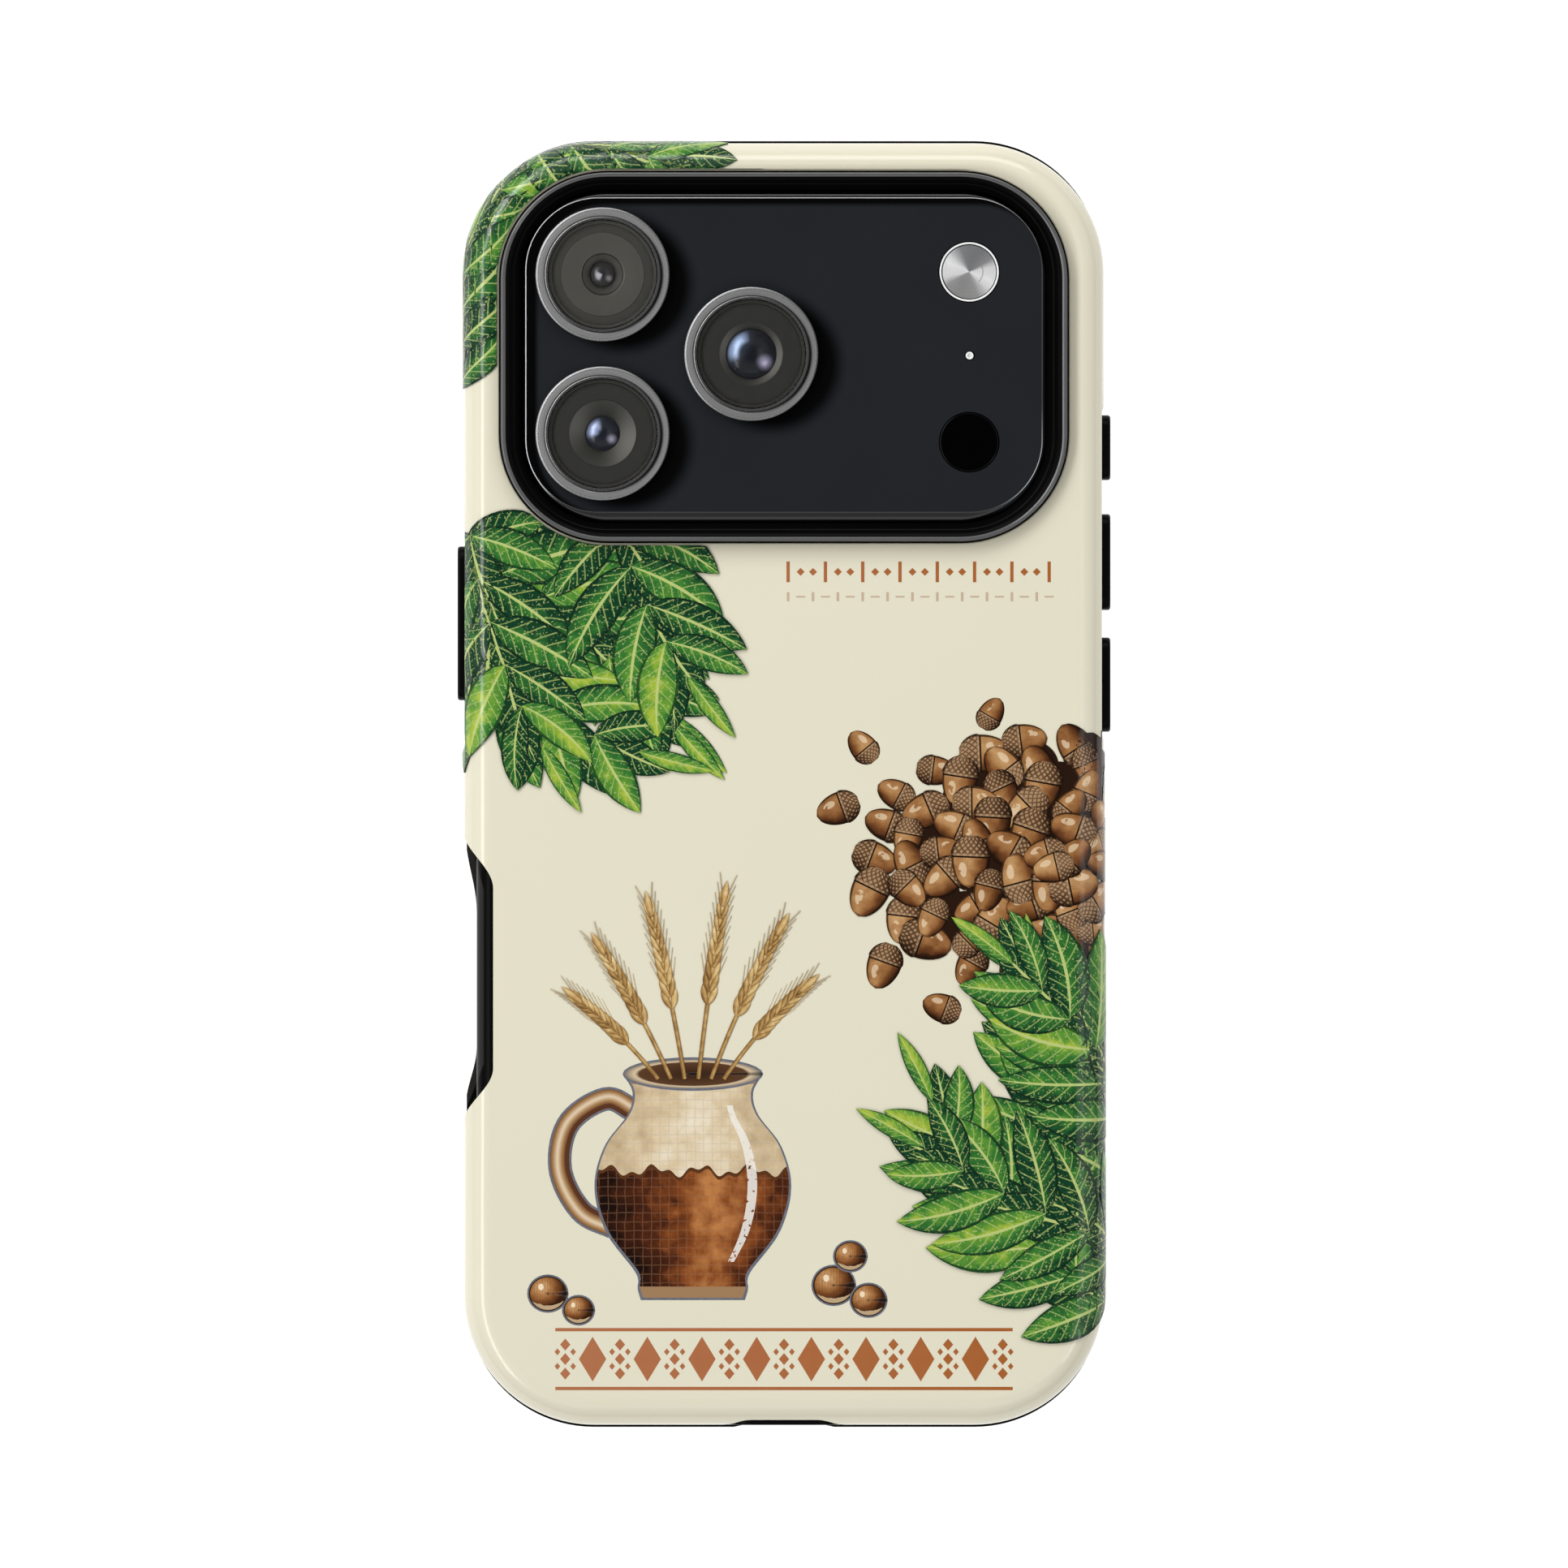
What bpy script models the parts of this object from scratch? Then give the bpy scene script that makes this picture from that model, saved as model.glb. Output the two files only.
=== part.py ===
"""A smartphone in a two-layer protective case, lying on its screen with its back up.

Metres, +Z up. The origin is on the floor, under the middle of the whole. The phone's top end,
with the cameras, is towards +Y, and seen from above +X is to the right.
"""

import math

import bpy
import bmesh
from mathutils import Vector

MM = 0.001
GAP = 0.15 * MM

# Phone
PHONE_HALF = (35.95 * MM, 75.0 * MM)
PHONE_CORNER = 13.05 * MM
SCREEN_Z = 0.9 * MM
PHONE_THICK = 8.75 * MM
PHONE_BACK_Z = SCREEN_Z + PHONE_THICK
PHONE_MID_Z = SCREEN_Z + PHONE_THICK / 2
FRONT_EDGE_ROUND = 0.9 * MM
BACK_EDGE_ROUND = 2.6 * MM
GLASS_INSET = 1.15 * MM
GLASS_THICK = 0.9 * MM
GLASS_EDGE = 0.15 * MM

# Camera plateau of the phone, raised above its back
PLATEAU_CENTRE = (-0.15 * MM, 51.6 * MM)
PLATEAU_HALF = (31.4 * MM, 19.95 * MM)
PLATEAU_CORNER = 10.2 * MM
PLATEAU_FACE_HALF = (31.1 * MM, 18.95 * MM)
PLATEAU_FACE_CORNER = 9.0 * MM
PLATEAU_Z = 12.6 * MM
PLATEAU_CHAMFER = 0.45 * MM

# Lenses: centres in plan, and what shows behind each glass
LENSES = {
    "upper": (-21.9 * MM, 61.5 * MM),
    "middle": (-3.95 * MM, 51.9 * MM),
    "lower": (-21.9 * MM, 42.3 * MM),
}
LENS_BORE = 7.4 * MM
LENS_BORE_FLOOR = 11.1 * MM
RING_OUTER = 8.09 * MM
RING_NECK = 7.25 * MM
RING_FLAT_INNER = 6.98 * MM
RING_BORE = 6.7 * MM
RING_TOP = 14.1 * MM
GLASS_RADIUS = 6.55 * MM
LENS_GLASS_TOP = 13.85 * MM
LENS_GLASS_THICK = 0.45 * MM
BARREL_RADIUS = 6.5 * MM
BARREL_TOP = 13.2 * MM
BARREL_FLOOR = 11.25 * MM
WELL_FLOOR = 11.75 * MM

# Radii of the barrel's face steps, from the rim to the well that holds the front element,
# each with its height, and the element's own radius and height above the well's floor
BARREL_STEPS = {
    "upper": ((5.1, 12.7), (5.0, 12.8), (2.6, 12.8), (2.45, 12.6), (1.6, 12.55)),
    "middle": ((3.8, 12.75), (3.7, 12.6), (3.1, 12.3)),
    "lower": ((4.1, 12.75), (4.0, 12.65), (2.15, 12.0)),
}
ELEMENTS = {"upper": (1.4 * MM, 12.7 * MM), "middle": (2.95 * MM, 13.0 * MM), "lower": (2.0 * MM, 12.75 * MM)}
BARREL_FACE = 12.7 * MM
BARREL_RIM = 0.4 * MM

# Flash, microphone and depth sensor
FLASH_CENTRE = (22.35 * MM, 61.8 * MM)
FLASH_RADIUS = 3.58 * MM
FLASH_RING_WALL = 0.27 * MM
MIC_CENTRE = (22.4 * MM, 51.7 * MM)
MIC_RADIUS = 0.47 * MM
SENSOR_CENTRE = (22.35 * MM, 41.25 * MM)
SENSOR_RADIUS = 3.53 * MM
SMALL_BORE_FLOOR = 11.6 * MM

# Rubber liner: a tray round the phone with a rim past the screen and a lip round the cameras
LINER_HALF = (37.1 * MM, 76.15 * MM)
LINER_CORNER = 14.2 * MM
LINER_WALL = 1.0 * MM
LINER_BACK_Z = 10.85 * MM
LINER_BACK_ROUND = 2.0 * MM
RIM_HALF = (38.35 * MM, 77.64 * MM)
RIM_CORNER = 15.6 * MM
RIM_TOP = 1.5 * MM
RIM_EDGE = 0.45 * MM
RIM_OVERLAP = 0.85 * MM
LIP_CENTRE = (-0.1 * MM, 51.53 * MM)
LIP_HALF = (34.05 * MM, 22.28 * MM)
LIP_CORNER = 12.85 * MM
LIP_TOP = 14.25 * MM
LIP_BORE_HALF = (31.55 * MM, 20.1 * MM)
LIP_BORE_CORNER = 10.35 * MM

# Hard outer shell
SHELL_HALF = (38.6 * MM, 77.45 * MM)
SHELL_CORNER = 15.7 * MM
SHELL_INNER_HALF = (37.3 * MM, 76.35 * MM)
SHELL_INNER_CORNER = 14.4 * MM
SHELL_BACK_Z = 12.4 * MM
SHELL_BACK_THICK = 1.3 * MM
SHELL_BACK_ROUND = 3.2 * MM
SHELL_INNER_ROUND = 2.2 * MM
SHELL_FRONT_Z = 1.7 * MM
SHELL_FRONT_EDGE = 0.3 * MM
WINDOW_GROW = 0.15 * MM

# Buttons moulded in the liner: side, and the Y of the upper and lower ends
BUTTONS = (
    (-1, 28.7 * MM, 10.1 * MM),
    (1, 44.55 * MM, 36.7 * MM),
    (1, 32.6 * MM, 21.0 * MM),
    (1, 17.7 * MM, 6.3 * MM),
)
BUTTON_X = 39.42 * MM
BUTTON_HALF_HEIGHT = 2.0 * MM
BUTTON_END = 1.6 * MM
BUTTON_CLEARANCE = 0.35 * MM
DISH_DEPTH = 0.25 * MM
DISH_END = 1.7 * MM
DISH_TOP_Z = 10.4 * MM

# Side notch for the touch key: Y where each ramp starts and ends, and how deep it goes
NOTCH_SHELL = (-6.8 * MM, -13.5 * MM, -34.3 * MM, -40.3 * MM)
NOTCH_SHELL_X = -35.1 * MM
NOTCH_RIM = (-7.3 * MM, -17.0 * MM, -31.8 * MM, -38.6 * MM)
NOTCH_RIM_X = -37.14 * MM
KEY_CENTRE_Y = -23.9 * MM
KEY_HALF = (7.5 * MM, 1.6 * MM)
KEY_WINDOW_HALF = (9.3 * MM, 2.8 * MM)
KEY_DEPTH = 0.8 * MM

# Charging port at the lower end, and the sound slots beside it
PORT_HALF = (4.6 * MM, 1.65 * MM)
PORT_DEPTH = 6.5 * MM
PLUG_HOLE_HALF = (6.0 * MM, 2.9 * MM)
PLUG_HOLE_CORNER = 2.8 * MM
SCOOP_HALF_WIDTH = 7.1 * MM
SCOOP_TOP_Z = 11.05 * MM
SCOOP_CORNER = 3.1 * MM
BOSS_Y = -77.38 * MM
SLOT_X = 15.2 * MM
SLOT_HALF = (4.2 * MM, 1.0 * MM)

CORNER_STEPS = 8
ROLL_STEPS = 4
RAMP_STEPS = 6
LENS_SIDES = 32
SMALL_SIDES = 20


def material(name, colour, roughness, metallic=0.0):
    """A plain Principled material."""
    made = bpy.data.materials.new(name)
    made.use_nodes = True
    shader = made.node_tree.nodes["Principled BSDF"]
    shader.inputs["Base Color"].default_value = (*colour, 1.0)
    shader.inputs["Roughness"].default_value = roughness
    shader.inputs["Metallic"].default_value = metallic
    return made


def outline(half, corner, centre=(0.0, 0.0), steps=CORNER_STEPS):
    """Points of a rounded rectangle, anticlockwise, as pairs."""
    points = []
    for k, (sx, sy) in enumerate(((1, 1), (-1, 1), (-1, -1), (1, -1))):
        for i in range(steps + 1):
            angle = math.radians(90 * k + 90 * i / steps)
            x = centre[0] + sx * (half[0] - corner) + corner * math.cos(angle)
            y = centre[1] + sy * (half[1] - corner) + corner * math.sin(angle)
            points.append((x, y))
    return points


def level(half, corner, z, centre=(0.0, 0.0), inset=0.0):
    """A rounded rectangle at height z, drawn in by inset on every side."""
    inner = (half[0] - inset, half[1] - inset)
    return [Vector((x, y, z)) for x, y in outline(inner, corner - inset, centre)]


def rolled(half, corner, centre_z, radius, start, end):
    """Levels round an edge of the given radius, from start to end in degrees: 0 faces out, 90 faces up."""
    levels = []
    for i in range(ROLL_STEPS + 1):
        angle = math.radians(start + (end - start) * i / ROLL_STEPS)
        inset = radius * (1 - math.cos(angle))
        levels.append(level(half, corner, centre_z + radius * math.sin(angle), inset=inset))
    return levels


def loft(name, loops, paint=None, closed=False):
    """A solid through loops of equally many points: capped at both ends, or closed on itself."""
    shape = bmesh.new()
    rings = [[shape.verts.new(point) for point in loop] for loop in loops]
    count = len(rings[0])
    pairs = list(zip(rings, rings[1:]))
    if closed:
        pairs.append((rings[-1], rings[0]))
    else:
        shape.faces.new(rings[0])
        shape.faces.new(rings[-1])
    for below, above in pairs:
        for i in range(count):
            j = (i + 1) % count
            shape.faces.new((below[i], below[j], above[j], above[i]))
    bmesh.ops.recalc_face_normals(shape, faces=shape.faces)
    mesh = bpy.data.meshes.new(name)
    shape.to_mesh(mesh)
    shape.free()
    mesh.shade_smooth()
    mesh.set_sharp_from_angle(angle=math.radians(35))
    made = bpy.data.objects.new(name, mesh)
    bpy.context.scene.collection.objects.link(made)
    if paint:
        mesh.materials.append(paint)
    return made


def turned(name, profile, centre, paint=None, sides=LENS_SIDES, closed=False):
    """A round solid about a vertical axis, from (radius, z) pairs."""
    loops = []
    for radius, z in profile:
        loop = []
        for i in range(sides):
            angle = math.tau * i / sides
            x = centre[0] + radius * math.cos(angle)
            y = centre[1] + radius * math.sin(angle)
            loop.append(Vector((x, y, z)))
        loops.append(loop)
    return loft(name, loops, paint, closed)


def along_x(name, y, z, half, corner, sections, paint=None):
    """A rounded bar along X: sections are (x, inset) pairs of its outline in Y and Z."""
    loops = []
    for x, inset in sections:
        shape = outline((half[0] - inset, half[1] - inset), corner - inset, (y, z), steps=4)
        loops.append([Vector((x, a, b)) for a, b in shape])
    return loft(name, loops, paint)


def along_y(name, x, z, half, corner, ends, paint=None):
    """A rounded bar along Y between two Y values, of the given half width and half height."""
    shape = outline(half, corner, (x, z), steps=5)
    return loft(name, [[Vector((a, y, b)) for a, b in shape] for y in ends], paint)


def ramped(name, places, floor, mouth, far, heights, axis="x"):
    """A cutter whose plan runs along one side: smooth ramps from mouth down to floor and back."""
    start, down, up, end = places
    plan = [(far, start), (mouth, start)]
    for i in range(1, RAMP_STEPS + 1):
        share = (1 - math.cos(math.pi * i / RAMP_STEPS)) / 2
        plan.append((mouth + (floor - mouth) * share, start + (down - start) * i / RAMP_STEPS))
    for i in range(RAMP_STEPS + 1):
        share = (1 + math.cos(math.pi * i / RAMP_STEPS)) / 2
        plan.append((mouth + (floor - mouth) * share, up + (end - up) * i / RAMP_STEPS))
    plan.append((far, end))
    if axis == "y":
        plan = [(b, a) for a, b in plan]
    return loft(name, [[Vector((a, b, z)) for a, b in plan] for z in heights])


def boolean(target, tool, operation):
    """Cut a tool out of the target, or fuse it on, and leave the tool as a guide."""
    tool.hide_render = True
    tool.display_type = "WIRE"
    change = target.modifiers.new(tool.name, "BOOLEAN")
    change.operation = operation
    change.solver = "EXACT"
    change.object = tool


def build_body(paint):
    """Aluminium body: a tray for the screen, rounded sides, a flat back and the camera plateau."""
    tray = level(PHONE_HALF, PHONE_CORNER, SCREEN_Z, inset=GLASS_INSET - GAP)
    tray_floor_z = SCREEN_Z + GLASS_THICK + GAP
    loops = [[Vector((p.x, p.y, tray_floor_z)) for p in tray], tray]
    front = rolled(PHONE_HALF, PHONE_CORNER, SCREEN_Z + FRONT_EDGE_ROUND, FRONT_EDGE_ROUND, -90, 0)
    back = rolled(PHONE_HALF, PHONE_CORNER, PHONE_BACK_Z - BACK_EDGE_ROUND, BACK_EDGE_ROUND, 0, 90)
    loops += front + back
    loops.append(level(PLATEAU_HALF, PLATEAU_CORNER, PHONE_BACK_Z, PLATEAU_CENTRE))
    loops.append(level(PLATEAU_HALF, PLATEAU_CORNER, PLATEAU_Z - PLATEAU_CHAMFER, PLATEAU_CENTRE))
    loops.append(level(PLATEAU_FACE_HALF, PLATEAU_FACE_CORNER, PLATEAU_Z, PLATEAU_CENTRE))
    body = loft("phone_body", loops, paint)

    above = PLATEAU_Z + MM
    for name, centre in LENSES.items():
        profile = ((LENS_BORE, LENS_BORE_FLOOR), (LENS_BORE, above))
        boolean(body, turned(f"bore_{name}", profile, centre), "DIFFERENCE")
    for name, centre, radius in (
        ("flash", FLASH_CENTRE, FLASH_RADIUS),
        ("mic", MIC_CENTRE, MIC_RADIUS),
        ("sensor", SENSOR_CENTRE, SENSOR_RADIUS),
    ):
        profile = ((radius + GAP, SMALL_BORE_FLOOR), (radius + GAP, above))
        boolean(body, turned(f"bore_{name}", profile, centre, sides=SMALL_SIDES), "DIFFERENCE")
    side = -PHONE_HALF[0]
    pocket_half = (KEY_HALF[0] + GAP, KEY_HALF[1] + GAP)
    pocket_ends = ((side - MM, 0.0), (side + KEY_DEPTH + GAP, 0.0))
    pocket = along_x("key_pocket", KEY_CENTRE_Y, PHONE_MID_Z, pocket_half, pocket_half[1], pocket_ends)
    boolean(body, pocket, "DIFFERENCE")
    port_ends = (-PHONE_HALF[1] - MM, -PHONE_HALF[1] + PORT_DEPTH)
    port = along_y("port_pocket", 0.0, PHONE_MID_Z, PORT_HALF, PORT_HALF[1] * 0.98, port_ends)
    boolean(body, port, "DIFFERENCE")


def build_screen(paint):
    """Flat front glass in the body's tray, its edges broken all round."""
    back_z = SCREEN_Z + GLASS_THICK
    levels = (
        (SCREEN_Z, GLASS_EDGE),
        (SCREEN_Z + GLASS_EDGE, 0.0),
        (back_z, 0.0),
    )
    loops = [level(PHONE_HALF, PHONE_CORNER, z, inset=GLASS_INSET + more) for z, more in levels]
    loft("front_glass", loops, paint)


def build_lens(name, centre, paints):
    """One camera: a metal ring standing on the plateau, its cover glass, the barrel and its front lens."""
    foot = PLATEAU_Z + GAP
    ring = (
        (RING_NECK, BARREL_FLOOR),
        (RING_NECK, foot),
        (RING_OUTER, foot),
        (RING_OUTER, RING_TOP - 0.2 * MM),
        (RING_OUTER - 0.16 * MM, RING_TOP),
        (RING_FLAT_INNER, RING_TOP),
        (RING_BORE, RING_TOP - 0.16 * MM),
        (RING_BORE, BARREL_FLOOR),
    )
    turned(f"lens_ring_{name}", ring, centre, paints["ring"], closed=True)

    glass_bottom = LENS_GLASS_TOP - LENS_GLASS_THICK
    glass = (
        (GLASS_RADIUS, glass_bottom),
        (GLASS_RADIUS, LENS_GLASS_TOP - GLASS_EDGE),
        (GLASS_RADIUS - GLASS_EDGE, LENS_GLASS_TOP),
    )
    turned(f"lens_glass_{name}", glass, centre, paints["glass"])

    barrel = [
        (BARREL_RADIUS, BARREL_FLOOR),
        (BARREL_RADIUS, BARREL_TOP),
        (BARREL_RADIUS - BARREL_RIM, BARREL_TOP),
        (BARREL_RADIUS - BARREL_RIM, BARREL_FACE),
    ]
    barrel += [(radius * MM, z * MM) for radius, z in BARREL_STEPS[name]]
    barrel.append((barrel[-1][0], WELL_FLOOR))
    turned(f"lens_barrel_{name}", barrel, centre, paints["barrel"], sides=24)

    radius, crown = ELEMENTS[name]
    base = WELL_FLOOR + GAP
    rise = min(0.45 * radius, 0.6 * (crown - base))
    profile = [(radius, base)]
    for i in range(5):
        angle = math.radians(80 * i / 4)
        profile.append((radius * math.cos(angle), crown - rise * (1 - math.sin(angle))))
    turned(f"lens_element_{name}", profile, centre, paints["element"], sides=24)


def build_plateau_trims(paints):
    """Flash with its ring, microphone hole and depth sensor window, each let into the plateau."""
    base = SMALL_BORE_FLOOR + GAP
    top = PLATEAU_Z + 0.05 * MM
    inner = FLASH_RADIUS - FLASH_RING_WALL
    ring = ((FLASH_RADIUS, base), (FLASH_RADIUS, top), (inner, top), (inner, base))
    turned("flash_ring", ring, FLASH_CENTRE, paints["ring"], SMALL_SIDES, closed=True)
    disc = inner - GAP
    lens = ((disc, base), (disc, PLATEAU_Z), (0.2 * disc, PLATEAU_Z - 0.12 * MM))
    turned("flash_lens", lens, FLASH_CENTRE, paints["flash"], SMALL_SIDES)

    bore = 0.45 * MIC_RADIUS
    mic = ((MIC_RADIUS, base), (MIC_RADIUS, PLATEAU_Z), (bore, PLATEAU_Z), (bore, PLATEAU_Z - 0.4 * MM))
    turned("rear_microphone", mic, MIC_CENTRE, paints["ring"], SMALL_SIDES)

    edge = 0.1 * MM
    window = ((SENSOR_RADIUS, base), (SENSOR_RADIUS, PLATEAU_Z - edge), (SENSOR_RADIUS - edge, PLATEAU_Z))
    turned("depth_sensor_window", window, SENSOR_CENTRE, paints["barrel"], SMALL_SIDES)


def build_key(paint):
    """Touch key, flush in the phone's side inside the notch."""
    side = -PHONE_HALF[0]
    sections = ((side, 0.1 * MM), (side + 0.1 * MM, 0.0), (side + KEY_DEPTH, 0.0))
    along_x("side_touch_key", KEY_CENTRE_Y, PHONE_MID_Z, KEY_HALF, KEY_HALF[1] * 0.98, sections, paint)


def lip_level(share, z):
    """A level of the camera lip: share 0 is its bore, 1 its outer face."""
    mix = [a + (b - a) * share for a, b in zip(LIP_BORE_HALF, LIP_HALF)]
    centre = [a + (b - a) * share for a, b in zip(PLATEAU_CENTRE, LIP_CENTRE)]
    corner = LIP_BORE_CORNER + (LIP_CORNER - LIP_BORE_CORNER) * share
    return level(mix, corner, z * MM, centre)


def build_liner(paint):
    """Rubber tray: camera lip, back panel, walls, the rim past the screen, buttons and port boss."""
    panel_z = PHONE_BACK_Z + GAP
    lip = ((0.0, 12.45), (0.12, 12.68), (0.45, 12.88), (0.62, 13.25), (0.74, 13.85), (0.84, 14.25), (0.93, 14.2))
    loops = [lip_level(share, z) for share, z in lip]
    loops += [lip_level(1.0, 13.95), lip_level(1.0, LINER_BACK_Z / MM)]
    wall_top = LINER_BACK_Z - LINER_BACK_ROUND
    loops += rolled(LINER_HALF, LINER_CORNER, wall_top, LINER_BACK_ROUND, 90, 0)
    loops.append(level(LINER_HALF, LINER_CORNER, RIM_TOP))
    loops.append(level(RIM_HALF, RIM_CORNER, RIM_TOP))
    loops.append(level(RIM_HALF, RIM_CORNER, RIM_EDGE))
    loops.append(level(RIM_HALF, RIM_CORNER, 0.0, inset=RIM_EDGE))
    loops.append(level(PHONE_HALF, PHONE_CORNER, 0.0, inset=RIM_OVERLAP - RIM_EDGE))
    loops.append(level(PHONE_HALF, PHONE_CORNER, RIM_EDGE / 2, inset=RIM_OVERLAP))
    loops.append(level(PHONE_HALF, PHONE_CORNER, SCREEN_Z - GAP, inset=RIM_OVERLAP))
    loops.append(level(PHONE_HALF, PHONE_CORNER, SCREEN_Z - GAP, inset=-GAP))
    hug = BACK_EDGE_ROUND + GAP
    inner_half = (PHONE_HALF[0] + GAP, PHONE_HALF[1] + GAP)
    loops += rolled(inner_half, PHONE_CORNER + GAP, panel_z - hug, hug, 0, 90)
    loops.append(level(LIP_BORE_HALF, LIP_BORE_CORNER, panel_z, PLATEAU_CENTRE))
    liner = loft("rubber_liner", loops, paint, closed=True)

    root = LINER_HALF[0] - 0.3 * MM
    for i, (side, upper, lower) in enumerate(BUTTONS):
        half = ((upper - lower) / 2, BUTTON_HALF_HEIGHT)
        sections = ((root, 0.0), (BUTTON_X - 0.3 * MM, 0.0), (BUTTON_X - 0.08 * MM, 0.08 * MM), (BUTTON_X, 0.3 * MM))
        sections = [(side * x, inset) for x, inset in sections]
        middle = (upper + lower) / 2
        cap = along_x(f"button_{i}", middle, PHONE_MID_Z, half, BUTTON_END, sections)
        boolean(liner, cap, "UNION")

    boss_half = (SCOOP_HALF_WIDTH - 0.2 * MM, (SCOOP_TOP_Z - 0.35 * MM - RIM_TOP / 2) / 2)
    boss_z = RIM_TOP / 2 + boss_half[1]
    boss_ends = (-LINER_HALF[1] + 0.3 * MM, BOSS_Y)
    boss = along_y("port_boss", 0.0, boss_z, boss_half, SCOOP_CORNER - 0.2 * MM, boss_ends)
    boolean(liner, boss, "UNION")

    far = -RIM_HALF[0] - MM
    relief = ramped("rim_notch", NOTCH_RIM, NOTCH_RIM_X, -RIM_HALF[0] - GAP, far, (-MM, RIM_TOP + GAP))
    boolean(liner, relief, "DIFFERENCE")
    places = (-SCOOP_HALF_WIDTH - GAP, -4.2 * MM, 4.2 * MM, SCOOP_HALF_WIDTH + GAP)
    far = -RIM_HALF[1] - MM
    heights = (-MM, RIM_TOP + GAP)
    dip = ramped("rim_dip", places, BOSS_Y - 0.02 * MM, -RIM_HALF[1] - GAP, far, heights, axis="y")
    boolean(liner, dip, "DIFFERENCE")
    ends = ((-LINER_HALF[0] - MM, 0.0), (-PHONE_HALF[0] + 0.05 * MM, 0.0))
    window = along_x("key_window", KEY_CENTRE_Y, PHONE_MID_Z, KEY_WINDOW_HALF, KEY_WINDOW_HALF[1] * 0.98, ends)
    boolean(liner, window, "DIFFERENCE")
    ends = (-RIM_HALF[1] - MM, -PHONE_HALF[1] + 0.05 * MM)
    plug = along_y("plug_hole", 0.0, PHONE_MID_Z, PLUG_HOLE_HALF, PLUG_HOLE_CORNER, ends)
    boolean(liner, plug, "DIFFERENCE")
    for side in (-1, 1):
        half = (SLOT_HALF[0] - 0.2 * MM, SLOT_HALF[1] - 0.2 * MM)
        slot = along_y(f"liner_slot_{side}", side * SLOT_X, PHONE_MID_Z, half, half[1] * 0.98, ends)
        boolean(liner, slot, "DIFFERENCE")


def build_shell(paint):
    """Hard printed shell: rolled edges, camera window, button slots, side notch and port scoop."""
    window_half = (LIP_HALF[0] + WINDOW_GROW, LIP_HALF[1] + WINDOW_GROW)
    window_corner = LIP_CORNER + WINDOW_GROW
    under_z = SHELL_BACK_Z - SHELL_BACK_THICK
    loops = [
        level(window_half, window_corner, under_z, LIP_CENTRE),
        level(window_half, window_corner, SHELL_BACK_Z, LIP_CENTRE),
    ]
    wall_top = SHELL_BACK_Z - SHELL_BACK_ROUND
    loops += rolled(SHELL_HALF, SHELL_CORNER, wall_top, SHELL_BACK_ROUND, 90, 0)
    loops.append(level(SHELL_HALF, SHELL_CORNER, SHELL_FRONT_Z + SHELL_FRONT_EDGE))
    loops.append(level(SHELL_HALF, SHELL_CORNER, SHELL_FRONT_Z, inset=SHELL_FRONT_EDGE))
    loops.append(level(SHELL_INNER_HALF, SHELL_INNER_CORNER, SHELL_FRONT_Z))
    wall_top = under_z - SHELL_INNER_ROUND
    loops += rolled(SHELL_INNER_HALF, SHELL_INNER_CORNER, wall_top, SHELL_INNER_ROUND, 0, 90)
    shell = loft("printed_shell", loops, paint, closed=True)

    far = -SHELL_HALF[0] - MM
    notch = ramped("shell_notch", NOTCH_SHELL, NOTCH_SHELL_X, -SHELL_HALF[0] - GAP, far, (0.0, SHELL_BACK_Z + MM))
    boolean(shell, notch, "DIFFERENCE")
    for i, (side, upper, lower) in enumerate(BUTTONS):
        half = ((upper - lower) / 2 + BUTTON_CLEARANCE, BUTTON_HALF_HEIGHT + BUTTON_CLEARANCE)
        sections = ((side * (SHELL_INNER_HALF[0] - MM), 0.0), (side * (SHELL_HALF[0] + MM), 0.0))
        middle = (upper + lower) / 2
        slot = along_x(f"slot_{i}", middle, PHONE_MID_Z, half, BUTTON_END + BUTTON_CLEARANCE, sections)
        boolean(shell, slot, "DIFFERENCE")
    for side in (-1, 1):
        upper = max(b[1] for b in BUTTONS if b[0] == side)
        lower = min(b[2] for b in BUTTONS if b[0] == side)
        places = (upper + DISH_END, upper, lower, lower - DISH_END)
        floor, mouth, far = [side * (SHELL_HALF[0] + more) for more in (-DISH_DEPTH, GAP, MM)]
        dish = ramped(f"dish_{side}", places, floor, mouth, far, (0.0, DISH_TOP_Z))
        boolean(shell, dish, "DIFFERENCE")

    scoop_half = (SCOOP_HALF_WIDTH, (SCOOP_TOP_Z + MM) / 2)
    scoop_z = scoop_half[1] - MM
    ends = (-SHELL_HALF[1] - MM, -SHELL_INNER_HALF[1] + MM)
    scoop = along_y("port_scoop", 0.0, scoop_z, scoop_half, SCOOP_CORNER, ends)
    boolean(shell, scoop, "DIFFERENCE")
    for side in (-1, 1):
        slot = along_y(f"shell_slot_{side}", side * SLOT_X, PHONE_MID_Z, SLOT_HALF, SLOT_HALF[1] * 0.98, ends)
        boolean(shell, slot, "DIFFERENCE")


for old in list(bpy.data.objects):
    bpy.data.objects.remove(old, do_unlink=True)

metal = material("dark_anodised_aluminium", (0.021, 0.023, 0.027), 0.42, 0.6)
lens_paints = {
    "ring": material("lens_ring_metal", (0.24, 0.24, 0.24), 0.35, 0.9),
    "glass": material("lens_cover_glass", (0.04, 0.04, 0.04), 0.05),
    "barrel": material("lens_barrel_black", (0.01, 0.01, 0.01), 0.5),
    "element": material("coated_lens", (0.02, 0.03, 0.09), 0.05),
    "flash": material("flash_reflector", (0.5, 0.5, 0.5), 0.3, 0.8),
}
build_body(metal)
build_screen(material("display_glass", (0.005, 0.005, 0.006), 0.06))
for lens_name, lens_centre in LENSES.items():
    build_lens(lens_name, lens_centre, lens_paints)
build_plateau_trims(lens_paints)
build_key(material("touch_key", (0.02, 0.02, 0.022), 0.15))
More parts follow.
